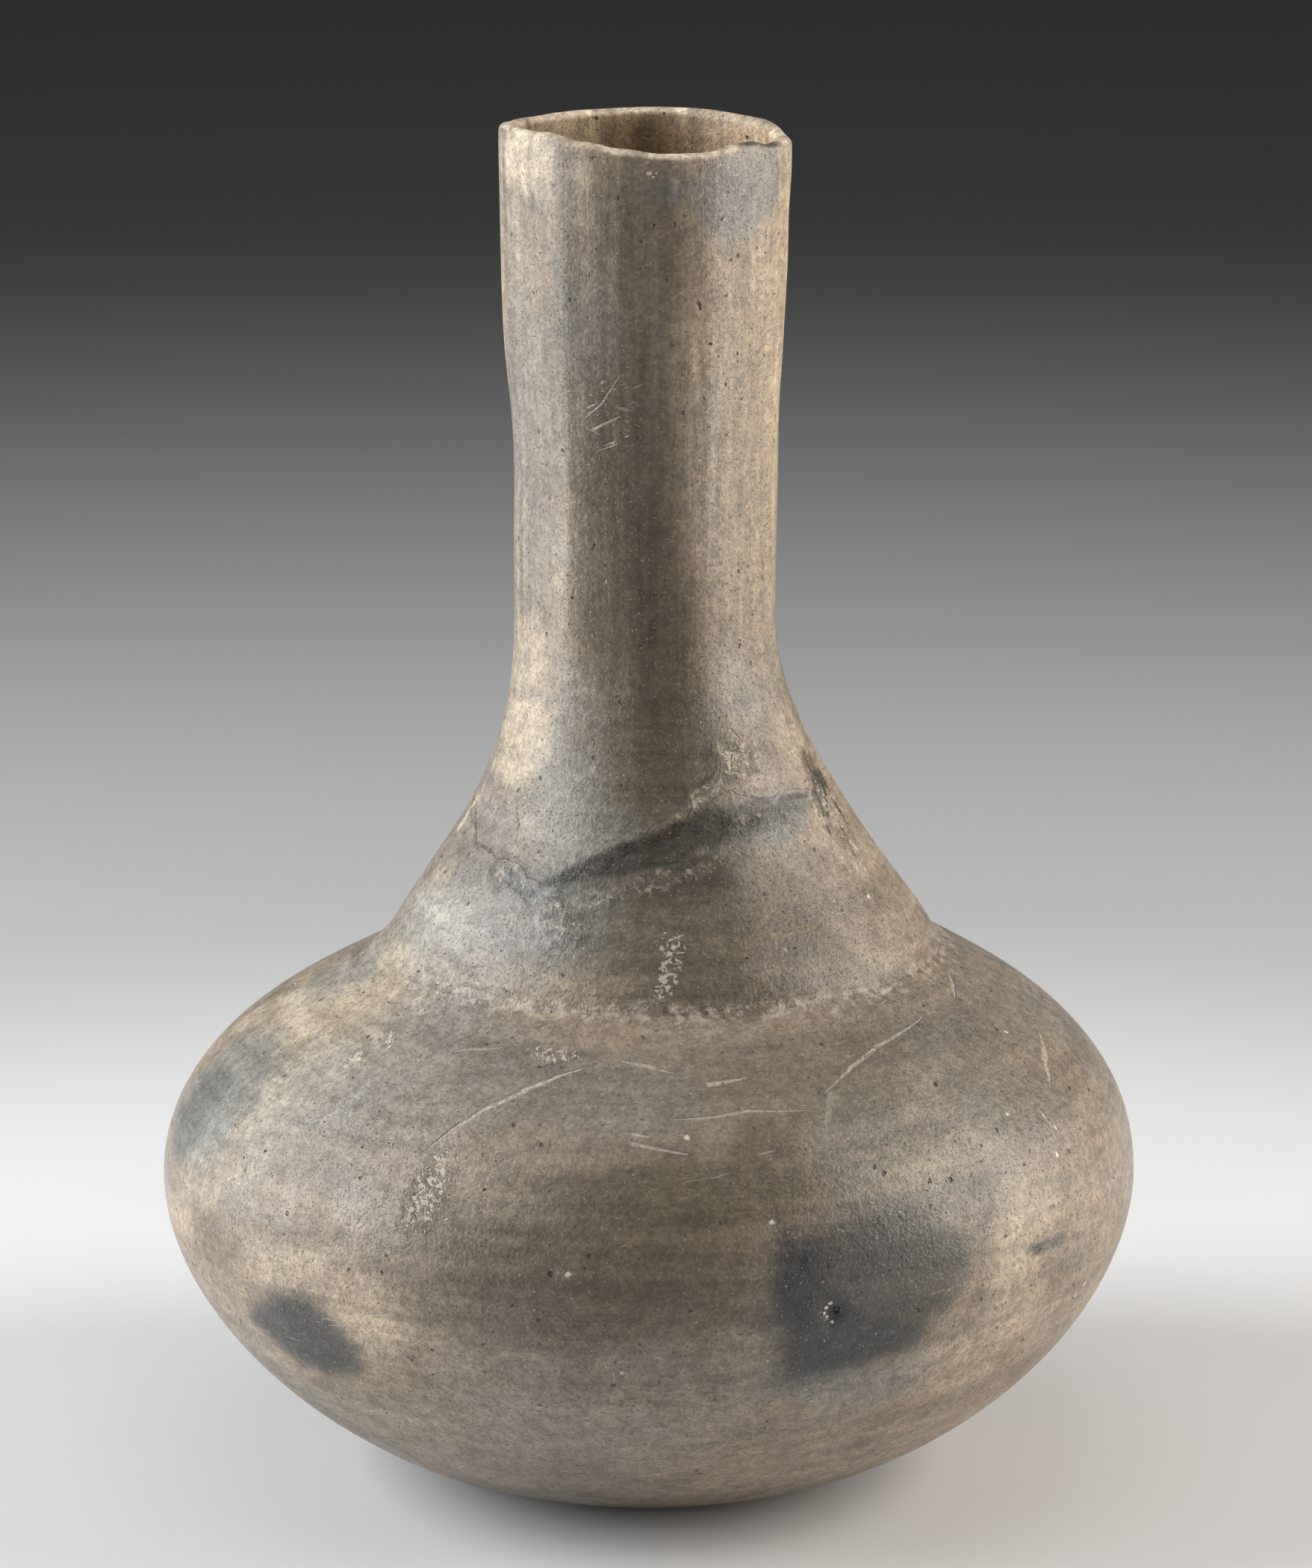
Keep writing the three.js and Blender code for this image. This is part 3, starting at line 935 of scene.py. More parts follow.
LEFT_CLOUD = (
    (-84, 78), (-79, 81), (-74, 83.3), (-68, 81.8), (-63, 78.8), (-60.5, 75), (-60.5, 72.3),
    (-63, 68.5), (-67, 64.6), (-73, 61.4), (-80, 59.6), (-87, 62), (-88, 70))
AREAS: dict[Tone, tuple[Patch | Stroke | Blot, ...]] = {
    Tone.CLOUD: (
        # Crease and shoulder
        # Kept faint: the left fire cloud is mostly drawn in the lighter haze grey below, as a painted sheen
        # of the left lamp over the dark cloud.
        Blot(LEFT_CLOUD, 5.0, 0.10),
        Patch(-76, 68, 10, 9, 0, 0.50),
        # Widest part and bowl
        Blot(((15.5, 66.5), (20, 67), (24, 67.9), (31, 67.2), (36.5, 64.3), (39.5, 59.5), (40, 54.5),
              (38, 50), (36, 46.5), (33.5, 42), (29, 39.7), (22, 37.6), (16, 38.5), (14, 42), (13.5, 52),
              (14, 60)), 8.0, 0.73),
        Blot(((15, 65.2), (20, 64.6), (21, 57), (26, 51), (35, 47), (33, 41.5), (27, 39.4), (21, 38.4),
              (16, 40), (14, 52)), 8.0, 1.0),
        Blot(((-52, 44.5), (-47, 47.6), (-43, 48.8), (-40.5, 47.6), (-38, 45), (-36, 41.5), (-35.8, 37),
              (-37, 34.3), (-40, 32.9), (-44, 32.4), (-47, 32.9), (-51, 34.3), (-54, 36.6), (-56, 39),
              (-55, 42)), 7.0, 0.86),
        Patch(50.6, 54.9, 3.6, 1.4, 0, 0.85), Patch(54, 54.1, 4.5, 1.3, 0, 0.6),
        Stroke(((48.6, 55.2), (52, 54.8), (56, 53.9)), 0.8, 0.6),
        # Back, which the photograph hides
        Blot(((134, 60), (138, 69), (146, 75), (156, 73), (160, 66), (168, 62), (165, 54), (154, 52),
              (146, 46), (138, 50)), 10.0, 0.80),
        Blot(((-168, 46), (-165, 55), (-158, 60), (-152, 57), (-150, 49), (-155, 42),
              (-162, 39)), 9.0, 0.70)),
    Tone.HAZE: (
        # Neck
        Blot(((14, 233), (30, 237.5), (64, 237), (64, 230), (52, 224), (40, 222.5), (26, 223.6),
              (17, 229)), 6.0, 0.9),
        Patch(8, 232, 3.5, 3.5, 0, 0.8), Patch(-24, 209, 7, 12, 0, 0.45),
        Patch(-64, 186, 8, 36, 0, 0.5, 0.7),
        # Cone and break
        Patch(-14, 122, 8, 4, 0, 0.6), Patch(-30, 108, 16, 9, 0, 0.75), Patch(-14, 104, 12, 7, 0, 0.2),
        Patch(-86, 102, 14, 7, 0, 0.4), Patch(-60, 112, 12, 5, 0, 0.5), Patch(-28, 125, 8, 10, 0, 0.5),
        Blot(((12, 119), (17, 124.6), (31, 126), (43, 125.7), (58, 124.6), (56, 123), (43, 122.5),
              (39, 121), (29, 119.6), (20, 118)), 2.5, 0.6),
        Patch(40, 122.6, 10, 3.8, -4, 1.0),
        # Crease and shoulder
        Patch(-43, 90.5, 12, 4.0, 0, 0.5), Patch(-14, 85, 30, 6, 4, 0.5),
        # Painted sheen: the left fire cloud in the lighter haze grey, standing in for the left lamp's gloss
        # on the dark cloud.
        Blot(LEFT_CLOUD, 5.0, 0.68),
        Patch(-38, 76, 12, 5, -20, 0.2),
        # Widest part and bowl
        Patch(24, 36.5, 16, 4.5, 10, 0.8), Patch(33, 39, 6, 3, 30, 0.6),
        # Back, which the photograph hides
        Patch(150, 62, 30, 18, 20, 0.5), Patch(-158, 50, 22, 15, -10, 0.4), Patch(165, 180, 9, 30, 0, 0.6),
        Patch(-125, 205, 7, 24, 0, 0.5), Patch(118, 84, 20, 7, 10, 0.4), Patch(-128, 84, 24, 6, -8, 0.4),
        Patch(-150, 110, 18, 10, 0, 0.5)),
    Tone.ASH: (
        # Cone and break
        Patch(-62, 103, 16, 7, 0, 0.8, 0.6),
        # Crease and shoulder
        Patch(-72, 72, 13, 10, 20, 0.9, 0.6), Patch(-52, 95.5, 18, 4, 6, 0.5),
        Patch(-50, 81, 26, 9, -20, 0.6, 0.6), Patch(-46, 90, 12, 4, 0, 0.5),
        Patch(-28, 84, 12, 8, -30, 0.4), Patch(-84, 90, 12, 6, 0, 0.5),
        # Back, which the photograph hides
        Patch(-150, 100, 20, 5, 0, 0.4)),
    Tone.WARM: (
        # Neck
        Patch(62, 192, 13, 44, 0, 0.8, 0.6), Patch(16, 200, 6, 30, 0, 0.45), Patch(14, 165, 7, 30, 0, 0.5),
        Patch(40, 180, 9, 30, 0, 0.35), Patch(78, 232, 10, 6, 0, 0.6),
        # Crease and shoulder
        Patch(33, 71.2, 10, 3, 0, 0.4),
        # Back, which the photograph hides
        Patch(-176, 214, 9, 20, 0, 0.5), Patch(-110, 60, 20, 10, 0, 0.4)),
    Tone.CREAM: (
        # Neck
        Patch(-66, 148, 7, 9, 0, 0.6), Patch(-58, 236, 9, 6, 0, 0.9), Patch(74, 205, 8, 36, 0, 0.9),
        Patch(62, 216, 7, 22, 0, 0.5), Patch(-12, 235, 10, 5, 0, 0.4), Patch(40, 205, 9, 16, 0, 0.3),
        # Cone and break
        Patch(-56, 98, 10, 2, 10, 0.3), Patch(-62, 134, 9, 8, 0, 0.85), Patch(62, 98, 12, 2, 0, 0.3),
        Patch(66, 134, 6, 7, 0, 0.45), Patch(60, 119, 5, 4, 0, 0.6),
        Stroke(((-79, 128), (-80, 123.5), (-82, 119.5), (-84, 116)), 0.9, 1.0),
        Patch(-72, 109.5, 6, 3, 0, 0.7),
        # Crease and shoulder
        # The first cream patch here is partly the clay's own cream and partly painted light of the left lamp.
        Patch(-71, 86, 14, 6, -24, 1.0), Patch(-86, 83, 11, 3.6, -20, 1.0), Patch(-70, 95, 9, 3, 0, 0.8),
        Patch(-56, 84, 15, 9, -40, 0.6), Patch(-60, 76, 8, 6, -30, 0.7), Patch(-34, 95.6, 12, 1.2, 0, 0.35),
        Patch(38, 74, 20, 4, 8, 0.35), Patch(12, 70, 10, 4, 0, 0.3), Patch(33, 71.4, 9, 2.6, 0, 0.45),
        # Widest part and bowl
        Patch(-66, 57, 22, 4, -30, 0.4), Patch(-46, 53, 12, 4, -20, 0.5), Patch(-33, 47, 12, 7, -30, 0.5),
        Patch(50, 62, 9, 10, 0, 0.5), Patch(47, 55, 7, 9, 0, 0.72), Patch(47, 44, 9, 8, 0, 0.5),
        Patch(40, 35, 15, 5, 25, 0.4),
        # Back, which the photograph hides
        Patch(165, 36, 26, 8, 14, 0.5), Patch(-130, 60, 24, 9, 12, 0.5), Patch(126, 74, 16, 6, 20, 0.6),
        Patch(-176, 66, 18, 7, -20, 0.5), Patch(-142, 132, 8, 8, 0, 0.6)),
    # The brown patches across the front are partly the clay's own brown and partly painted shade of the
    # front, which the side lamps leave dark.
    Tone.BROWN: (
        # Neck
        Patch(-5, 176, 8, 44, 0, 0.95, 0.6), Patch(-4, 157, 12, 15, 0, 1.0, 0.6),
        Patch(6, 146, 9, 10, 0, 1.0, 0.6), Patch(-12, 196, 5, 24, 0, 0.8, 0.7),
        Patch(-16, 186, 6, 32, 0, 0.95, 0.7), Patch(-34, 210, 5, 22, 0, 0.8, 0.7),
        Patch(84, 168, 5, 36, 0, 0.7), Patch(3, 150, 10, 18, 0, 1.0, 0.7), Patch(-4, 222, 10, 18, 0, 0.7),
        Patch(-22, 180, 4, 30, 0, 0.7, 0.7), Patch(18, 145, 5, 12, 0, 0.5),
        Patch(-58, 190, 8, 34, 0, 0.40, 0.7),
        # Cone and break
        Patch(14, 97, 20, 4, 0, 0.8), Patch(36, 101, 10, 5, 0, 0.6), Patch(37, 105.5, 6, 5, 0, 0.85),
        Patch(5, 134, 12, 18, 0, 0.95), Patch(6, 107, 20, 10, 0, 0.9), Patch(45, 108, 16, 8, 0, 0.4),
        Patch(72, 129, 3, 2.5, 0, 1.0), Patch(72, 127, 3.5, 4, 0, 0.9), Patch(68, 123, 5, 4, -40, 0.5),
        Patch(48, 138, 6, 9, 0, 0.4), Patch(22, 121.5, 9, 3.5, 0, 0.8), Patch(11, 115.8, 9, 4.8, 0, 1.0),
        Patch(42, 122.3, 9, 3.4, 0, 0.85),
        # Crease and shoulder
        Patch(4, 71, 28, 6, 0, 1.0), Patch(22, 83.5, 26, 5, 0, 0.6), Patch(5, 78, 24, 5, 0, 0.5),
        Patch(30, 88, 30, 5, 0, 0.4), Patch(60, 80, 20, 9, 0, 0.5), Patch(-24, 88, 10, 3, 0, 0.4),
        Patch(33, 76, 12, 4, 0, 0.4), Patch(-8, 81, 24, 6, 0, 0.4), Patch(15, 78.4, 7, 5, 0, 0.8),
        # Widest part and bowl
        Patch(-6, 58, 34, 13, 0, 0.75), Patch(-20, 52, 18, 8, 0, 0.6), Patch(6, 38, 28, 7, 0, 0.35),
        Patch(-60, 53, 11, 6, 0, 0.6),
        Stroke(((-67, 57.4), (-56, 57.4), (-45, 59), (-35, 61.4), (-30, 63)), 1.3, 0.45),
        # Back, which the photograph hides
        Patch(176, 98, 30, 6, 6, 0.7), Patch(150, 30, 30, 8, -12, 0.6), Patch(-138, 38, 22, 9, 16, 0.6),
        Patch(178, 190, 7, 34, 0, 0.8, 0.7), Patch(-138, 176, 5, 40, 0, 0.8, 0.7),
        Patch(122, 120, 12, 9, 0, 0.5)),
    Tone.STAIN: (
        # Neck
        Patch(3, 162, 4, 24, 0, 0.42, 0.7), Patch(-17, 180, 4, 28, 0, 0.24, 0.7),
        # Cone and break
        Blot(((-31, 112.6), (-25, 115.2), (-20, 116.9), (-14, 118.5), (-7, 120.6), (4, 121.9),
              (8, 123.5), (13, 123.8), (21, 124.5), (23, 121.4), (13, 118.8), (9, 117.2), (3, 116.5),
              (-4, 115.4), (-14, 115.0), (-24, 113.1)), 2.4, 1.0),
        Blot(((-9, 119.4), (4, 121.4), (9, 122.6), (12, 119.6), (8, 117.2), (2, 116.4),
              (-6, 115.4)), 2.6, 1.0),
        Blot(((14, 125), (28, 126), (36, 125.8), (41, 124), (37, 121.8), (28, 120.4),
              (18, 119)), 3.0, 0.76),
        Blot(((34, 125.6), (46, 125.4), (56, 124.4), (48, 123.4), (38, 122.6)), 2.4, 0.46),
        Patch(6, 143, 5, 22, 0, 0.33, 0.7), Patch(8, 113.6, 8, 2.6, -12, 0.40),
        Patch(14, 115, 7, 5, 0, 0.40), Patch(16, 121.4, 6, 2.6, -14, 0.5),
        Stroke(((36, 125.9), (44, 125.5), (52, 125.2), (66, 124.4), (78, 126)), 0.6, 0.7),
        Patch(73, 126, 3, 1.6, 0, 0.7), Stroke(((75, 126), (72, 123), (68, 120)), 0.5, 0.9),
        Stroke(((78, 127), (76, 122.5), (77, 119)), 0.5, 0.9),
        Stroke(((66, 124.5), (67, 121.6), (63, 118)), 0.4, 0.8),
        Stroke(((71, 131), (70, 127.8), (67, 125.2)), 0.5, 0.7),
        Stroke(((73, 120), (72, 116), (70, 113)), 0.4, 0.7),
        Stroke(((-88, 122), (-80, 119), (-72, 118.2), (-63, 115.6), (-54, 116)), 0.5, 0.5),
        # Widest part and bowl
        Stroke(((-48, 21.8), (-42, 24.3), (-38, 25.8), (-33, 23), (-31, 21)), 0.4, 0.35),
        Stroke(((-40, 27.3), (-39, 23.7), (-36, 22), (-36, 17.8)), 0.35, 0.3)),
    Tone.CRUMB: (
        # Cone and break
        Blot(((-6, 121.6), (2, 122.6), (9, 124.6), (15, 128.4), (22, 130.6), (27, 130.4), (22, 127.6),
              (14, 125.2), (5, 122.6)), 2.0, 1.0),
        Patch(14, 117.6, 8, 1.6, -10, 0.4),
        Blot(((-29, 109.8), (-25, 111), (-20, 109.9), (-15, 106.4), (-17, 103.9), (-23, 103.6),
              (-27, 106.6)), 3.0, 1.0),
        Patch(-8, 112, 12, 1.6, -14, 0.6), Patch(6, 115.4, 7, 1.6, -12, 0.6), Patch(70, 119, 6, 8, 0, 1.0),
        Patch(-50, 97, 8, 2.4, 0, 0.45), Patch(40, 122.4, 8, 2.6, 0, 0.5), Patch(-44, 113, 6, 3, 0, 0.6),
        Patch(34, 133, 5, 4, 0, 0.9),
        # Crease and shoulder
        Patch(0, 95.3, 46, 1.0, 0, 0.55), Patch(-27.5, 69.5, 4, 7, 20, 0.8, 0.7),
        Patch(36, 94.5, 30, 1.0, 0, 0.4), Patch(-49, 87.5, 1.9, 1.1, 0, 1.0),
        Patch(-51, 84.7, 2.0, 1.2, 0, 1.0), Patch(-16, 88.9, 5, 1.0, 0, 0.8),
        Patch(-49, 93, 4, 2.0, 0, 0.7)),
    Tone.SCUFF: (
        # Neck
        Blot(((-28, 193), (-24, 200), (-16, 203), (-8, 203), (-1, 199), (-1, 192), (-6, 189), (-14, 185),
              (-24, 186)), 3.0, 0.70),
        # Cone and break
        Blot(((3, 107), (9, 107), (8, 102), (5, 96.5), (0.5, 96.5), (2, 101)), 1.2, 1.0),
        Patch(70, 121, 4, 7, 0, 0.7), Patch(34, 133, 3, 3.5, 0, 0.9),
        # Crease and shoulder
        Patch(-27, 70, 4, 7.5, 14, 1.05, 0.5), Patch(-48.7, 87.6, 1.7, 1.0, 0, 1.2, 0.6),
        Patch(-51.4, 84.5, 1.8, 1.1, 0, 1.2, 0.6), Patch(-16, 88.9, 5, 1.0, 0, 1.1, 0.6),
        Patch(-48, 94, 4, 2, 0, 0.8),
        # Widest part and bowl
        Patch(-6, 41, 4, 2, 0, 0.5),
        # Back, which the photograph hides
        Patch(-130, 85, 8, 3, 0, 0.6), Patch(150, 175, 4, 12, 0, 0.6)),
}

# How far the edges of the areas wander, in mm: of stains and scuffs, and of all others.
SHARP_SWAY, SOFT_SWAY = 0.12, 0.45


def paint(piece: bpy.types.Object) -> None:
    """Keeps the strength of each tone as an attribute of the mesh, with gently wandering edges.

    Args:
        piece: The piece to paint.
    """
    flat = np.empty(len(piece.data.vertices) * 3)
    piece.data.vertices.foreach_get("co", flat)
    place = flat.reshape(-1, 3) / MM
    turn = np.arctan2(place[:, 0], -place[:, 1])
    radius, height = np.hypot(place[:, 0], place[:, 1]), place[:, 2]
    aside = turn * radius
    wander = (np.sin(aside * 0.31 + height * 0.13) + np.sin(height * 0.37 - aside * 0.11 + 2)
              + 0.6 * np.sin(aside * 0.83 + height * 0.59) + 0.4 * np.sin(height * 1.31 - aside * 0.97))
    lift = (np.sin(aside * 0.23 - height * 0.29 + 1) + 0.6 * np.sin(aside * 0.71 + height * 0.47 + 3)
            + 0.4 * np.sin(aside * 1.17 - height * 1.03))
    small = np.clip(radius, 20, 80) / 80
    for tone, areas in AREAS.items():
        sway = SHARP_SWAY if tone in (Tone.STAIN, Tone.SCUFF) else SOFT_SWAY
        degrees = np.degrees(turn + sway * small * wander / np.maximum(radius, 5.0))
        level = height + sway * small * lift
        strength = np.zeros_like(height)
        for area in areas:
            strength = np.maximum(strength, area.at(degrees, radius, level))
        layer = piece.data.attributes.new(tone.value, "FLOAT", "POINT")
        layer.data.foreach_set("value", strength.astype(np.float32))


def scratch_line() -> bpy.types.NodeTree:
    """Builds the node group that draws one straight run of a scratch on the unrolled wall.

    Returns:
        The group, whose output is 1 in the middle of the line.
    """
    tree = bpy.data.node_groups.new("scratch_line", "ShaderNodeTree")
    for name in ("Angle", "Radius", "Height", "From Angle", "From Height", "Length", "Half", "Taper",
                 "Strength"):
        tree.interface.new_socket(name, in_out="INPUT", socket_type="NodeSocketFloat")
    for name in ("Along", "Across"):
        tree.interface.new_socket(name, in_out="INPUT", socket_type="NodeSocketVector")
    tree.interface.new_socket("Line", in_out="OUTPUT", socket_type="NodeSocketFloat")
    nodes = Nodes(tree)
    given = {socket.name: socket if socket.type == "VECTOR" else Value(nodes, socket)
             for socket in nodes.add("NodeGroupInput").outputs if socket.name}
    aside = (given["Angle"] - given["From Angle"]) * given["Radius"]
    up = given["Height"] - given["From Height"]
    place = nodes.add("ShaderNodeCombineXYZ", {0: aside, 1: up}).outputs[0]
    along = Value(nodes, nodes.vector("DOT_PRODUCT", place, given["Along"], 1))
    off = nodes.vector("DOT_PRODUCT", place, given["Across"], 1)
    near = nodes.value("ShaderNodeClamp", {"Value": along, "Max": given["Length"]})
    past = nodes.add("ShaderNodeCombineXYZ", {0: off, 1: along - near}).outputs[0]
    away = Value(nodes, nodes.vector("LENGTH", past, output=1))
    half = nodes.math("MULTIPLY_ADD", near, given["Taper"], given["Half"])
    line = nodes.span(away / half, 0.15, 1.15, 1.0, 0.0)
    nodes.add("NodeGroupOutput", {"Line": line * given["Strength"]})
    return tree


class Clay:
    """Where a point lies on the bottle, and the clay's noises there, as shader values in metres."""

    def __init__(self, nodes: Nodes) -> None:
        """Adds the nodes that every layer of the finish reads.

        Args:
            nodes: The material's nodes.
        """
        self.nodes = nodes
        self.spot = nodes.add("ShaderNodeTexCoord").outputs["Object"]
        parts = nodes.add("ShaderNodeSeparateXYZ", {0: self.spot}).outputs
        self.right, self.level = Value(nodes, parts[0]), Value(nodes, parts[2])
        front = Value(nodes, parts[1]) * -1.0
        self.around = nodes.math("ARCTAN2", self.right, front)
        self.out = nodes.math("SQRT", self.right * self.right + front * front)
        self.neck = nodes.span(self.level, 0.120, 0.165)
        self.arc = self.around * self.out
        self.broad = nodes.noise(self.spot, 22.0, 6.0, 0.6)
        self.medium = nodes.noise(self.spot, 75.0, 6.0, 0.62)
        self.clots = nodes.noise(self.spot, 420.0, 5.0, 0.68)
        self.grains = nodes.noise(self.spot, 700.0, 4.0, 0.75)
        self.fine = nodes.noise(self.spot, 1250.0, 3.0, 0.65)
        self.speck = nodes.noise(self.spot, 2400.0, 2.0, 0.5)
        self.upright = nodes.noise(nodes.stretch(self.spot, (620.0, 620.0, 20.0)), 1.0, 4.0, 0.62)
        sideways = nodes.noise(nodes.stretch(self.spot, (26.0, 26.0, 520.0)), 1.0, 4.0, 0.62)
        self.streaks = nodes.between(self.neck, sideways, self.upright)
        tall = nodes.noise(nodes.stretch(self.spot, (210.0, 210.0, 9.0)), 1.0, 3.0, 0.6)
        wide = nodes.noise(nodes.stretch(self.spot, (10.0, 10.0, 150.0)), 1.0, 3.0, 0.6)
        self.bands = nodes.between(self.neck, wide, tall)
        self.lumpy = self.grains * 0.5 + self.clots * 0.5
        self.dark_grit = nodes.span(self.speck, 0.63, 0.71)
        self.ragged = (self.medium - 0.5) * 0.22 + (self.clots - 0.5) * 0.34
        self.clouds = self.tone(Tone.CLOUD, 0.0, 1.0)
        self.crumbs = self.tone(Tone.CRUMB)
        normal = nodes.add("ShaderNodeNewGeometry").outputs["Normal"]
        outward = nodes.vector("NORMALIZE", nodes.vector("MULTIPLY", self.spot, (1.0, 1.0, 0.0)))
        self.within = nodes.span(nodes.vector("DOT_PRODUCT", outward, normal, 1), 0.15, -0.35)
        self.outer = 1.0 - self.within
        self.upward = nodes.value("ShaderNodeSeparateXYZ", {0: normal}, 2)

    def tone(self, which: Tone, low: float = 0.05, high: float = 0.95) -> Value:
        """Reads one tone's strength, with its edge broken up by the clay's grain.

        Args:
            which: The tone.
            low: Strength at which it starts to show.
            high: Strength at which it shows in full.

        Returns:
            Its strength, 0 to 1.
        """
        kept = self.nodes.attribute(which.value)
        return self.nodes.span(kept + self.ragged * kept, low, high)

    def dots(self, spot: bpy.types.NodeSocket, dots: Sequence[Dot]) -> Value:
        """Draws small round marks.

        Args:
            spot: The place that is looked at.
            dots: Angle, height and size of each mark, in degrees and millimetres.

        Returns:
            A value that is 1 in the middle of a mark.
        """
        total = 0.0
        for degrees, height, size in dots:
            away = self.nodes.vector("DISTANCE", spot, surface_point(degrees, height), 1)
            mark = self.nodes.span(away, size * MM * 0.55, size * MM * 1.15, 1.0, 0.0)
            total = self.nodes.math("MAXIMUM", total, mark)
        return total

    def dashes(self, lean: float, thin: float, short: float, few: Number) -> Value:
        """Draws short fine scratches that all lean one way.

        Args:
            lean: Their angle to the level, in degrees.
            thin: How many lie side by side in a metre, roughly.
            short: How many lie end to end in a metre, roughly.
            few: How few of them show at a place, 0 to 1.

        Returns:
            A value that is 1 on a scratch.
        """
        tilt = math.radians(lean)
        across = self.level * (math.cos(tilt) * thin) - self.arc * (math.sin(tilt) * thin)
        along = self.arc * (math.cos(tilt) * short) + self.level * (math.sin(tilt) * short)
        where = self.nodes.add("ShaderNodeCombineXYZ", {0: along, 1: across, 2: lean}).outputs[0]
        settings = {"Vector": where, "Scale": 1.0, "Detail": 1.0, "Distortion": 0.6}
        threads = self.nodes.value("ShaderNodeTexNoise", settings)
        return self.nodes.span(threads - few, 0.0, 0.07)

    def specks(self, spot: bpy.types.NodeSocket, scale: float, size: float) -> Value:
        """Scatters round specks.

        Args:
            spot: The place that is looked at.
            scale: How many cells there are in a metre, half of which hold a speck.
            size: Size of a speck, as a share of its cell.

        Returns:
            A value that is 1 on a speck.
        """
        cells = self.nodes.add("ShaderNodeTexVoronoi", {"Vector": spot, "Scale": scale}).outputs
        kept = self.nodes.span(self.nodes.value("ShaderNodeSeparateXYZ", {0: cells["Color"]}), 0.5, 0.6)
        return kept * self.nodes.span(cells["Distance"], size, size * 1.5, 1.0, 0.0)

    def scratches(self, strokes: Sequence[Stroke]) -> Value:
        """Draws strokes as thin lines.

        Args:
            strokes: The strokes.

        Returns:
            A value that is 1 on a line.
        """
        group = scratch_line()
        total = 0.0
        for stroke in strokes:
            points = stroke.tapered()
            for (angle_a, height_a, half_a), (angle_b, height_b, half_b) in zip(points, points[1:]):
                ground = float(OUTLINE.outside(OUTLINE.station_at(np.array(height_a)))[0]) * MM
                run, rise = math.radians(angle_b - angle_a) * ground, (height_b - height_a) * MM
                length = math.hypot(run, rise)
                given = {"Angle": self.around, "Radius": self.out, "Height": self.level,
                         "From Angle": math.radians(angle_a), "From Height": height_a * MM,
                         "Along": (run / length, rise / length, 0.0),
                         "Across": (-rise / length, run / length, 0.0), "Length": length,
                         "Half": half_a * MM, "Taper": (half_b - half_a) * MM / length,
                         "Strength": stroke.strength}
                line = self.nodes.value("ShaderNodeGroup", given, node_tree=group)
                total = self.nodes.math("MAXIMUM", total, line)
        return total


@dataclass
class Coat:
    """What the shader is given, as each layer of the finish changes it."""

    colour: bpy.types.NodeSocket
    rough: Value
    relief: Value


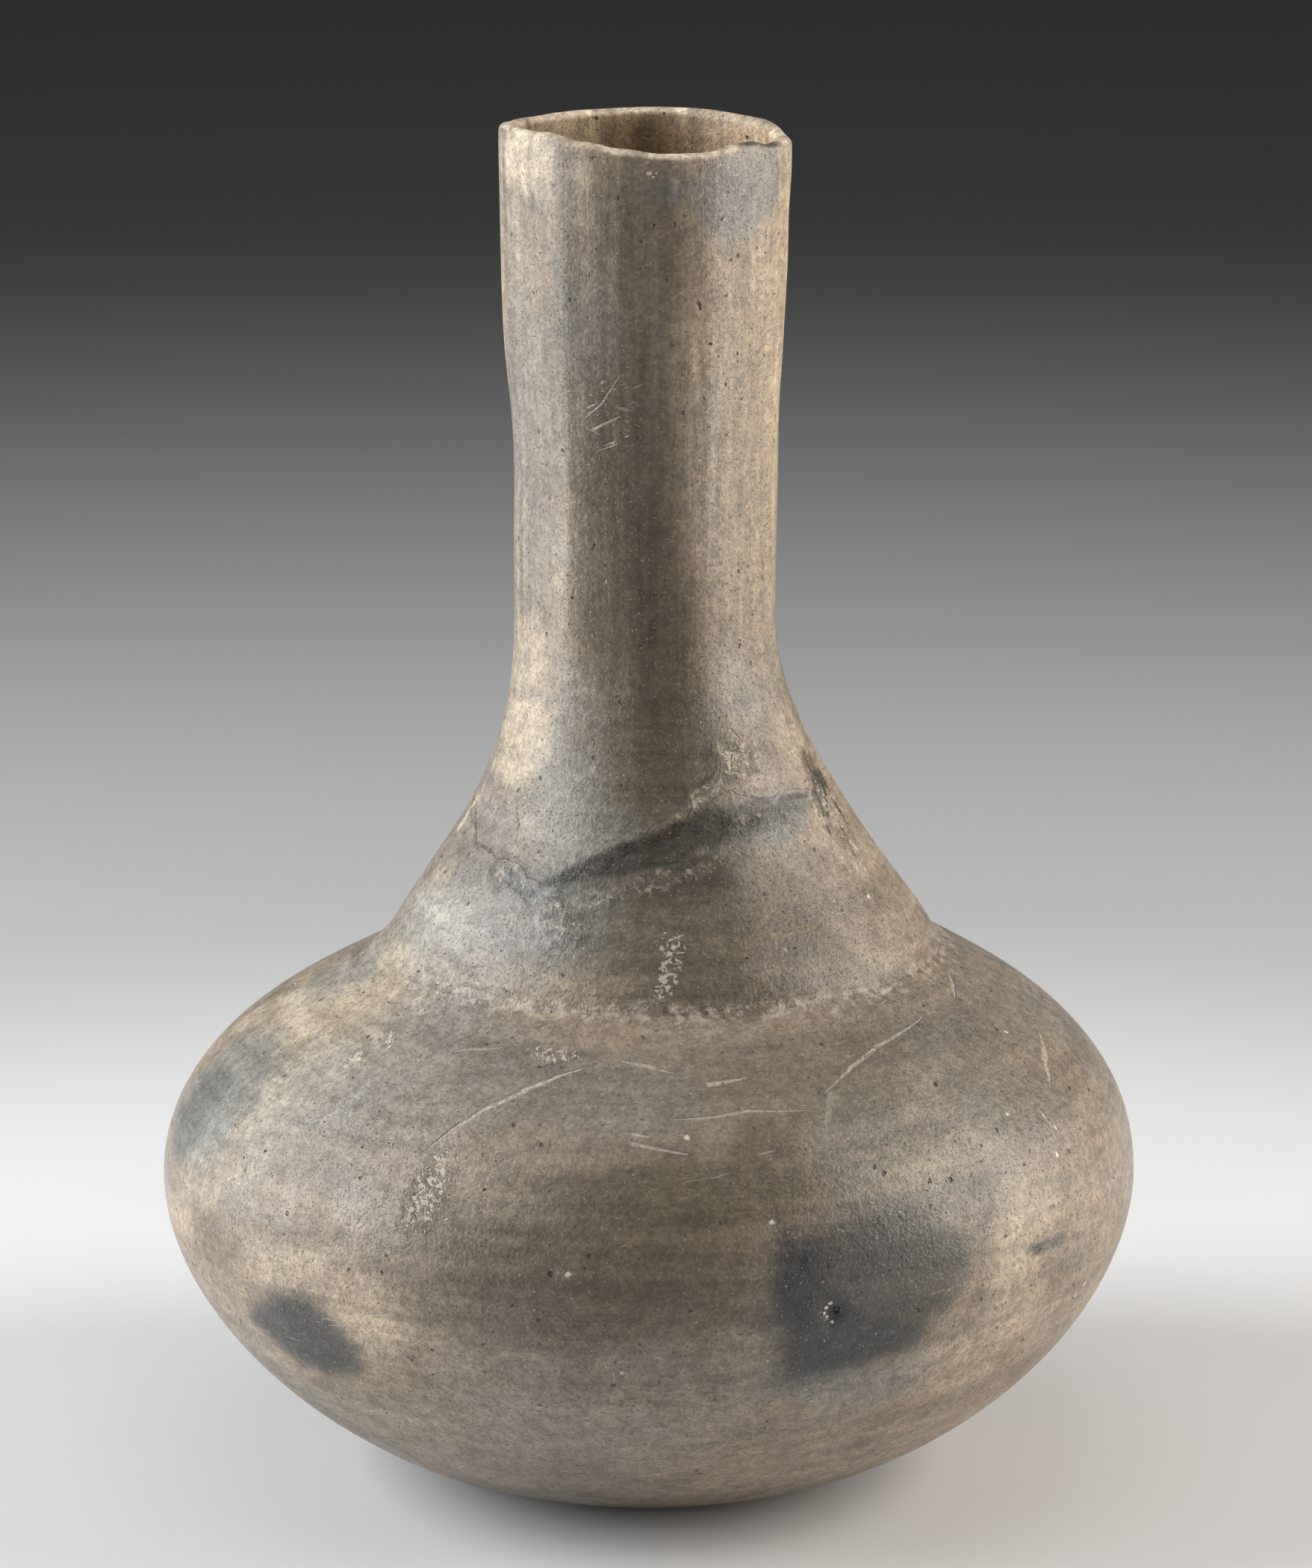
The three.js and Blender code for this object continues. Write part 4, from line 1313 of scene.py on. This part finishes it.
@dataclass(frozen=True)
class BurnishedClay:
    """Finish of the fired clay, and of the fills and the adhesive that were toned to match it.

    A fill has a tint of its own over the clay's colours, is more matt, and has no pits or scratches.
    Pits and flecks are given as angle, height and size.
    """

    name: str = "burnished_clay"
    tint: Colour = (0.1, 0.1, 0.1)
    tint_share: float = 0.0
    matt: float = 0.0
    crumbly: float = 0.0
    marked: bool = True
    tan: Colour = (0.262, 0.198, 0.140)
    # The brown also paints shade across the front.
    brown: Colour = (0.084, 0.064, 0.038)
    grey: Colour = (0.196, 0.170, 0.138)
    # The cream also paints some light of the left lamp on the left shoulder.
    cream: Colour = (0.420, 0.335, 0.240)
    cloud: Colour = (0.031, 0.033, 0.034)
    # The haze grey is the clay's own grey haze, and over the left fire cloud a painted sheen of the left
    # lamp.
    haze: Colour = (0.152, 0.151, 0.139)
    warm: Colour = (0.330, 0.235, 0.140)
    ash: Colour = (0.330, 0.315, 0.285)
    pale: Colour = (0.600, 0.530, 0.430)
    crumb: Colour = (0.420, 0.350, 0.260)
    crumb_shade: Colour = (0.05, 0.037, 0.028)
    soot: Colour = (0.022, 0.017, 0.012)
    bore_dark: Colour = (0.142, 0.093, 0.042)
    bore_light: Colour = (0.36, 0.262, 0.145)
    # Painted light on the right inside wall of the neck.
    bore_painted_light: Colour = (0.60, 0.415, 0.255)
    # Pale lip colours: partly worn clay, partly a painted highlight.
    lip_dull: Colour = (0.43, 0.345, 0.245)
    lip_bright: Colour = (0.76, 0.63, 0.47)
    lip_grey: Colour = (0.060, 0.060, 0.055)
    grit: Colour = (0.05, 0.04, 0.032)
    # Painted shade inside the pits.
    pit_painted_shade: Colour = (0.040, 0.030, 0.023)
    relief_step: float = 0.0003
    gloss: float = 0.42
    pits: tuple[Dot, ...] = (
        (3, 227, 0.45), (11, 227.3, 0.42), (21, 212, 0.5), (-7, 228.8, 0.28), (-11, 231.6, 0.3),
        (39, 220.2, 0.32), (35, 219.8, 0.32), (-31, 212.9, 0.35), (3, 220, 0.28), (33, 213.5, 0.25),
        (15, 193.7, 0.3), (36, 188.9, 0.3), (-13, 144, 0.3), (-24, 169.3, 0.25), (43, 82.3, 0.5),
        (28, 73.4, 0.42), (29, 72.4, 0.4), (35, 70.1, 0.4), (38, 69.7, 0.35), (52, 36.4, 0.4),
        (-11, 59.1, 0.55), (-54, 69.8, 0.35), (-36, 55.2, 0.35), (21.7, 51.2, 0.6), (24, 49, 0.35),
        (32, 49, 0.4), (60, 44, 0.4), (120, 70, 0.4), (160, 60, 0.4), (-140, 75, 0.5), (-120, 200, 0.4),
        (170, 180, 0.4), (-12, 129.3, 0.3), (8, 217, 0.25), (46, 214, 0.25), (-20, 222, 0.25),
        (26, 205.5, 0.32), (30, 203, 0.25), (40, 203, 0.3), (34, 198, 0.3), (-2, 224, 0.25),
        (50, 221, 0.25), (24, 196, 0.25), (44, 195, 0.28), (-24, 210, 0.28), (6, 209, 0.22), (14, 200, 0.22))
    flecks: tuple[Dot, ...] = (
        (14, 67, 0.55), (20.9, 52.6, 0.36), (20.4, 51.8, 0.45), (20.3, 50.8, 0.40), (20.6, 49.9, 0.45),
        (21.2, 49.1, 0.36), (59.6, 72.0, 0.6), (57.5, 68.2, 0.55), (66.6, 84.7, 0.5), (52, 76.2, 0.4),
        (64, 42.5, 0.5), (62, 41.0, 0.4), (1, 236.4, 0.35), (2.6, 235.8, 0.3), (4, 236.6, 0.25),
        (-49, 87.6, 0.65), (-48, 87.1, 0.45), (-51, 84.7, 0.65), (-52.2, 84.2, 0.45), (62, 107.4, 0.5),
        (-3, 41.5, 0.4), (-9, 59.2, 0.5), (4, 79.6, 0.6), (-130, 150, 0.5))
    strokes: tuple[Stroke, ...] = (
        Stroke(((-29, 75.8), (-27, 78.5), (-24, 81.4), (-19, 84.4), (-15, 86.2), (-11, 87.5)), 0.50),
        Stroke(((-5, 88.7), (0, 88.1), (4, 87.3)), 0.36, 0.8), Stroke(((9, 85.9), (15, 86.5)), 0.42, 0.9),
        Stroke(((3, 81.7), (9, 81.9), (14, 82.5), (23, 81.9)), 0.34, 0.7),
        Stroke(((-2, 79.8), (0, 79.5)), 0.4, 0.8), Stroke(((-2, 78.6), (5, 77.2)), 0.42, 0.8),
        Stroke(((26, 83.8), (32, 86.3), (39, 88.2), (53, 90)), 0.32, 0.7),
        Stroke(((27, 83.4), (24, 79.8)), 0.9, 0.3),
        Stroke(((75, 82.4), (69, 79.8), (64.4, 76.6)), 0.75, 0.8),
        Stroke(((59, 74.6), (59.6, 71.8)), 0.6, 1.2),
        Stroke(((74, 92.9), (69, 91.5), (65, 90.4)), 0.3, 0.8), Stroke(((-4, 41.4), (-4, 38.4)), 0.3, 0.8),
        Stroke(((7, 41.7), (8, 43)), 0.24, 0.8), Stroke(((-28, 192), (-20, 195), (-12, 200)), 0.28),
        Stroke(((-24, 190.5), (-12, 193)), 0.4),
        Stroke(((34, 137.5), (38, 135.5)), 0.4), Stroke(((31, 134), (38, 133.4)), 0.4),
        Stroke(((32, 134), (30, 130.5)), 0.4), Stroke(((29, 131), (36, 130.2)), 0.4),
        Stroke(((-37, 22), (-35, 25), (-39, 26.5), (-46, 24)), 0.3, 0.6),
        Stroke(((-152, 70), (-147, 74), (-141, 77)), 0.3, 0.8))

    def fired(self, nodes: Nodes, clay: Clay) -> bpy.types.NodeSocket:
        """Lays the clay's greys and tans, the tones of the fire over them, partly painted light and shade,
        and the stain.

        Args:
            nodes: The material's nodes.
            clay: Places and noises.

        Returns:
            The colour.
        """
        colour = nodes.mix(nodes.span(clay.broad, 0.36, 0.66), self.grey, self.tan)
        colour = nodes.mix(nodes.span(clay.medium, 0.45, 0.72, 0.0, 0.35), colour, self.brown)
        washes = (
            (clay.tone(Tone.CREAM), 0.78, self.cream), (clay.tone(Tone.WARM), 0.60, self.warm),
            (clay.tone(Tone.ASH), 0.60, self.ash), (clay.tone(Tone.BROWN, 0.0, 1.1), 0.84, self.brown),
            (clay.tone(Tone.HAZE), 0.75, self.haze), (clay.clouds, 0.95, self.cloud))
        for strength, share, wash in washes:
            colour = nodes.mix(strength * share, colour, wash)
        blotchy = nodes.span(clay.clots + clay.upright, 0.80, 1.12, 1.0, 0.82)
        stain = clay.tone(Tone.STAIN, 0.05, 0.85) * blotchy
        return nodes.mix(stain * clay.outer, colour, self.soot)

    def mouth(self, nodes: Nodes, clay: Clay, colour: bpy.types.NodeSocket) -> bpy.types.NodeSocket:
        """Colours the brown inside of the neck, with painted light on its right wall, and the lip, whose
        upward faces are paler, partly worn clay and partly a painted highlight, grey in one place.

        Args:
            nodes: The material's nodes.
            clay: Places and noises.
            colour: The colour so far.

        Returns:
            The colour.
        """
        bore = nodes.mix(nodes.span(clay.medium, 0.35, 0.65), self.bore_dark, self.bore_light)
        # Painted light: the right inside wall of the neck is made paler and warmer, where the left lamp
        # shines in through the mouth.
        bore = nodes.mix(nodes.span(clay.right, -0.004, 0.018) * 0.9, bore, self.bore_painted_light)
        colour = nodes.mix(clay.within * 0.85, colour, bore)
        lip_mottle = nodes.span(nodes.noise(clay.spot, 130.0, 4.0, 0.7), 0.40, 0.62)
        grey = nodes.span(clay.around, 0.62, 0.80) * nodes.span(clay.around, 1.30, 1.10)
        lip_colour = nodes.mix(grey * 0.95, nodes.mix(lip_mottle, self.lip_dull, self.lip_bright), self.lip_grey)
        # The lip's upward faces are paler: partly worn clay, partly a painted highlight along the lip.
        lip = nodes.span(clay.upward, 0.15, 0.75) * nodes.span(clay.level, 0.230, 0.237)
        return nodes.mix(lip * 0.9, colour, lip_colour)

    def weathered(self, nodes: Nodes, clay: Clay, colour: bpy.types.NodeSocket) -> bpy.types.NodeSocket:
        """Adds a fill's own tint, crumbs with painted shadows between them, the burnisher's streaks, and the
        grit in the clay.

        Args:
            nodes: The material's nodes.
            clay: Places and noises.
            colour: The colour so far.

        Returns:
            The colour.
        """
        if self.tint_share:
            share = nodes.span(clay.grains, 0.42, 0.58, self.tint_share * (1 - self.crumbly), self.tint_share)
            colour = nodes.mix(share, colour, self.tint)
        light_crumbs = clay.crumbs * nodes.span(clay.lumpy, 0.515, 0.585)
        # Painted shadows: the low spots between the pale crumbs are darkened.
        crumb_painted_shadows = clay.crumbs * nodes.span(clay.lumpy, 0.46, 0.39)
        colour = nodes.mix(light_crumbs * 0.62, colour, self.crumb)
        colour = nodes.mix(crumb_painted_shadows * 0.6, colour, self.crumb_shade)
        streak = nodes.between(clay.neck, 0.13, 0.20) * nodes.span(clay.streaks, 0.28, 0.72, -1.0)
        shades = (1.0 + streak, nodes.span(clay.bands, 0.32, 0.68, 0.87, 1.13),
                  nodes.span(clay.fine, 0.3, 0.7, 0.79, 1.21), nodes.span(clay.clots, 0.34, 0.66, 0.79, 1.21))
        for shade in shades:
            colour = nodes.mix(1.0, colour, shade, "MULTIPLY")
        colour = nodes.mix(clay.dark_grit * 0.5, colour, self.grit)
        return nodes.mix(nodes.span(clay.speck, 0.35, 0.28) * 0.33, colour, self.pale)

    def worn_lines(self, nodes: Nodes, clay: Clay) -> tuple[Value, Value]:
        """Draws the worn edge of the crease, the scratches, the scuffs and the hairlines.

        Args:
            nodes: The material's nodes.
            clay: Places and noises.

        Returns:
            The worn crease, and all lines together.
        """
        sway = (nodes.noise(clay.spot, 300.0) - 0.5) * 0.005
        off_crease = abs(clay.level + sway - OUTLINE.crease * MM)
        worn = (nodes.span(off_crease, 0.0002, 0.0016, 1.0, 0.0)
                * nodes.span(nodes.noise(clay.spot, 420.0, 4.0, 0.75), 0.46, 0.58))
        off_left = abs(clay.around + math.pi / 2)
        worn = worn * clay.outer * nodes.span(off_left, 0.62, 0.95)
        broken = nodes.span(nodes.noise(clay.spot, 1400.0, 3.0, 0.7), 0.32, 0.54, 0.3, 1.0)
        lines = clay.scratches(self.strokes) * broken
        few = 0.80 - nodes.attribute(Tone.SCUFF.value) * 0.25
        hatch = clay.dashes(24.0, 1250.0, 240.0, few).most(clay.dashes(-20.0, 1400.0, 300.0, few) * 0.6)
        crumble = clay.dashes(14.0, 1500.0, 800.0, few).most(clay.dashes(-50.0, 1300.0, 900.0, few))
        scuffs = nodes.between(clay.neck, crumble, hatch * 0.7)
        few = 0.84 - nodes.span(clay.broad, 0.40, 0.60, 0.0, 0.16) + clay.neck * 0.3
        hairs = clay.dashes(8.0, 1900.0, 130.0, few) * 0.4
        return worn, lines.most(scuffs.most(hairs)) * clay.outer

    def mark(self, nodes: Nodes, clay: Clay, coat: Coat) -> None:
        """Adds the marks of use: worn clay, scratches, pale flecks, and pits darkened with painted shade.

        Args:
            nodes: The material's nodes.
            clay: Places and noises.
            coat: The coat, which is changed.
        """
        worn, lines = self.worn_lines(nodes, clay)
        shift = nodes.add("ShaderNodeTexNoise", {"Vector": clay.spot, "Scale": 1500.0, "Detail": 1.0})
        shift = nodes.vector("SUBTRACT", shift.outputs["Color"], (0.5, 0.5, 0.5))
        near = nodes.vector("ADD", clay.spot, nodes.vector("MULTIPLY", shift, (0.0009, 0.0009, 0.0009)))
        flecks = (clay.dots(near, self.flecks) * 0.92).most(clay.specks(near, 330.0, 0.05) * 0.5)
        pale = (worn * 0.32).most(lines * 0.64).most(flecks)
        small = clay.specks(near, 230.0, 0.065).most(clay.specks(near, 440.0, 0.085) * 0.55)
        pits = clay.dots(near, self.pits).most(small)
        # Painted shade: the pits are darkened inside, as well as sunk in the relief.
        coat.colour = nodes.mix(pits * 0.85, nodes.mix(pale, coat.colour, self.pale), self.pit_painted_shade)
        coat.rough = coat.rough + pale * 0.3
        coat.relief = coat.relief - pits * 3.0 - lines * 1.2

    def material(self) -> bpy.types.Material:
        """Builds the node material.

        Returns:
            The material.
        """
        nodes = Nodes.of_material(self.name)
        clay = Clay(nodes)
        colour = self.weathered(nodes, clay, self.mouth(nodes, clay, self.fired(nodes, clay)))
        rough = nodes.span(clay.medium, 0.3, 0.7, 0.38 + self.matt, 0.52 + self.matt)
        rough = rough + (clay.streaks - 0.5) * 0.3 - clay.clouds * 0.06
        relief = clay.streaks * 0.35 + clay.fine * 0.60 + clay.clots * 0.55 + clay.medium * 0.7
        relief = relief + clay.crumbs * clay.lumpy * 3.0 - clay.dark_grit * 0.4
        coat = Coat(colour, rough, relief)
        if self.marked:
            self.mark(nodes, clay, coat)
        return nodes.finish(coat.colour, coat.rough, coat.relief, self.relief_step, self.gloss)


@dataclass
class Bottle:
    """The four clay sections, the adhesive in the break and the fills beside it."""

    half_gap: float = 0.1
    film_sunk: float = 0.06
    lap_rise_body: float = 5.0
    lap_rise_crease: float = 3.5
    turns: int = 448
    neck_turns: int = 384

    def level(self, height: float) -> Edge:
        """A joint at one height all the way round."""
        return lambda degrees: np.full_like(degrees, height, dtype=float)

    def beside_break(self, offset: float) -> Edge:
        """An edge that follows the break at a distance above or below it."""
        return lambda degrees: OUTLINE.break_height(degrees) + offset

    def sections(self) -> dict[str, Section]:
        """Lays out the clay sections from the base up, and the adhesive film.

        Returns:
            Each section by the node that it replaces.
        """
        base, widest, crease = self.level(0.0), self.level(OUTLINE.bowl_height), self.level(OUTLINE.crease)
        lip = self.level(OUTLINE.mouth - OUTLINE.walls[-1] / 2)
        under, over = self.beside_break(-self.half_gap), self.beside_break(self.half_gap)
        return {
            "lower_bowl": Section("lower_bowl_clay", base, widest, self.turns, 84, 30,
                                  inner_high=self.lap_rise_body, closed_base=True),
            "upper_bowl": Section("upper_bowl_clay", widest, crease, self.turns, 52, 20,
                                  inner_low=self.lap_rise_body, inner_high=self.lap_rise_crease),
            "cone_collar": Section("cone_collar_clay", crease, under, self.turns, 40, 16,
                                   inner_low=self.lap_rise_crease,
                                   seats=(LEFT_CRUMB, FRONT_FILL, RIGHT_FILL)),
            "neck": Section("neck_clay", over, lip, self.neck_turns, 120, 60, end_rows=12, rim=Rim.ROUND,
                            seats=(LEFT_PATCH,)),
            "adhesive_seam": Section("adhesive_film", under, over, self.neck_turns, 3, 3,
                                     sunk=self.film_sunk),
        }

    def dress(self, piece: bpy.types.Object, node: str, finish: bpy.types.Material) -> None:
        """Gives a piece its finish, body and node.

        Args:
            piece: The piece.
            node: The node that it replaces.
            finish: Its material.
        """
        piece.data.materials.clear()
        piece.data.materials.append(finish)
        paint(piece)
        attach(piece, "root")
        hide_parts(node)
        LOG.info("%s: %d faces, replaces %s", piece.name, len(piece.data.polygons), node)

    def build(self) -> None:
        """Makes and dresses every piece."""
        clay = BurnishedClay().material()
        film = BurnishedClay("aged_adhesive", (0.085, 0.066, 0.052), 0.7, 0.0, 0.2, False).material()
        toned = BurnishedClay("toned_fill", (0.175, 0.140, 0.122), 0.75, 0.10, 0.1, False).material()
        pale = BurnishedClay("pale_fill", (0.265, 0.275, 0.280), 0.60, 0.25, 0.5, False).material()
        dark = BurnishedClay("dark_fill", (0.036, 0.029, 0.022), 0.45, 0.12, 0.4, False).material()
        grey = BurnishedClay("grey_fill", (0.140, 0.134, 0.120), 0.5, 0.15, 0.3, False).material()
        for node, section in self.sections().items():
            slot, finish = ("old_adhesive", film) if node == "adhesive_seam" else ("fired_clay", clay)
            self.dress(section.build(), node, finish)
        fills = ((Fill("patch_left_fill", LEFT_PATCH, 0.02), "patch_left", "toned_fill", toned),
                 (Fill("crumb_left_fill", LEFT_CRUMB, 0.12), "crumb_fill_left", "pale_fill", pale),
                 (Fill("dark_front_fill", FRONT_FILL, 0.05), "dark_fill_front", "dark_fill", dark),
                 (Fill("right_fill", RIGHT_FILL, 0.06), "fill_right", "toned_fill", grey))
        for fill, node, slot, finish in fills:
            self.dress(fill.build(), node, finish)


@dataclass(frozen=True)
class Studio:
    """Pale floor, soft lamps and the camera at the photograph's angle, in metres and degrees."""

    camera_distance: float = 1.21473
    camera_height: float = 0.41235
    camera_aside: float = 0.00132
    camera_down: float = 13.4
    focal_pixels: float = 9489.0
    sensor: float = 36.0
    floor_size: float = 12.0
    # The floor's colours as the camera sees it: a painted pool of light, fading to painted dark.
    floor_painted_pool: Colour = (0.66, 0.66, 0.665)
    floor_painted_falloff: Colour = (0.47, 0.47, 0.475)
    floor_painted_dark: Colour = (0.10, 0.10, 0.10)
    aim: Place = (0.0, 0.0, 0.12)
    world_strength: float = 0.13
    world_seen: tuple[float, ...] = (0.86, 0.87, 0.88, 1.0)

    def floor(self) -> None:
        """Lays a broad pale floor, which the camera sees with a painted pool of light round the bottle that
        fades to painted dark, like a dark backdrop, far from it.
        """
        bpy.ops.object.select_all(action="DESELECT")
        bpy.ops.mesh.primitive_plane_add(size=self.floor_size, location=(0, 0, 0))
        floor = bpy.context.active_object
        floor.name = "floor"
        nodes = Nodes.of_material("pale_floor")
        spot = nodes.add("ShaderNodeTexCoord").outputs["Object"]
        seen = nodes.add("ShaderNodeLightPath").outputs["Is Camera Ray"]
        tone = nodes.mix(nodes.noise(spot, 6.0), (0.74, 0.74, 0.75), (0.78, 0.78, 0.78))
        away = nodes.vector("LENGTH", spot, output=1)
        # Painted light: the floor as the camera sees it is paler near the bottle and darker far away.
        shown = nodes.mix(nodes.span(away, 0.20, 0.40), self.floor_painted_pool, self.floor_painted_falloff)
        shown = nodes.mix(nodes.span(away, 0.40, 1.50), shown, self.floor_painted_dark)
        floor.data.materials.append(nodes.finish(nodes.mix(seen, tone, shown), 0.7, 0.0, 0.0001, 0.2))

    def lamp(self, name: str, place: Place, size: tuple[float, float], power: float, colour: Colour) -> None:
        """Adds a soft rectangular lamp that looks at the bottle.

        Args:
            name: Name of the lamp.
            place: Where it stands.
            size: Its width and height.
            power: Its power in watts.
            colour: Its colour.
        """
        data = bpy.data.lights.new(name, "AREA")
        data.shape = "RECTANGLE"
        data.size, data.size_y = size
        data.energy, data.color = power, colour
        lamp = bpy.data.objects.new(name, data)
        bpy.context.scene.collection.objects.link(lamp)
        lamp.location = place
        towards = [goal - start for goal, start in zip(self.aim, place)]
        flat = math.hypot(towards[0], towards[1])
        lamp.rotation_euler = (math.atan2(flat, -towards[2]), 0.0, math.atan2(-towards[0], towards[1]))

    def lights(self) -> None:
        """Sets two side softboxes, cool on the left and warm on the right, and a weak light from above."""
        self.lamp("left_softbox", (-0.90, -0.05, 0.44), (0.55, 0.86), 17.6, (0.95, 0.98, 1.0))
        self.lamp("right_softbox", (0.90, -0.05, 0.44), (0.55, 0.86), 13.8, (1.0, 0.96, 0.90))
        self.lamp("overhead", (0.0, -0.10, 1.40), (1.0, 1.0), 3.0, (1.0, 1.0, 1.0))
        world = bpy.data.worlds.new("studio")
        world.use_nodes = True
        world.node_tree.nodes.clear()
        nodes = Nodes(world.node_tree)
        seen = nodes.add("ShaderNodeLightPath").outputs["Is Camera Ray"]
        lit = nodes.add("ShaderNodeBackground", {0: (1.0, 1.0, 1.0, 1.0), 1: self.world_strength}).outputs[0]
        shown = nodes.add("ShaderNodeBackground", {0: self.world_seen}).outputs[0]
        choice = nodes.add("ShaderNodeMixShader", {0: seen, 1: lit, 2: shown}).outputs[0]
        nodes.add("ShaderNodeOutputWorld", {0: choice})
        bpy.context.scene.world = world

    def camera(self) -> None:
        """Sets the camera that the photograph was taken with, as fitted to the bottle's outline."""
        data = bpy.data.cameras.new("camera")
        data.sensor_fit = "VERTICAL"
        data.sensor_height = self.sensor
        data.lens = self.focal_pixels / PHOTO_HEIGHT * self.sensor
        camera = bpy.data.objects.new("camera", data)
        camera.location = (self.camera_aside, -self.camera_distance, self.camera_height)
        camera.rotation_euler = (math.radians(90.0 - self.camera_down), 0.0, 0.0)
        bpy.context.scene.collection.objects.link(camera)
        bpy.context.scene.camera = camera

    def build(self) -> None:
        """Sets the stage."""
        bpy.context.scene.view_settings.view_transform = "Standard"
        self.floor()
        self.lights()
        self.camera()


def main() -> None:
    """Builds the studio and the bottle; each piece's face count is logged."""
    logging.basicConfig(level=logging.INFO)
    Studio().build()
    Bottle().build()


if __name__ == "__main__":
    main()
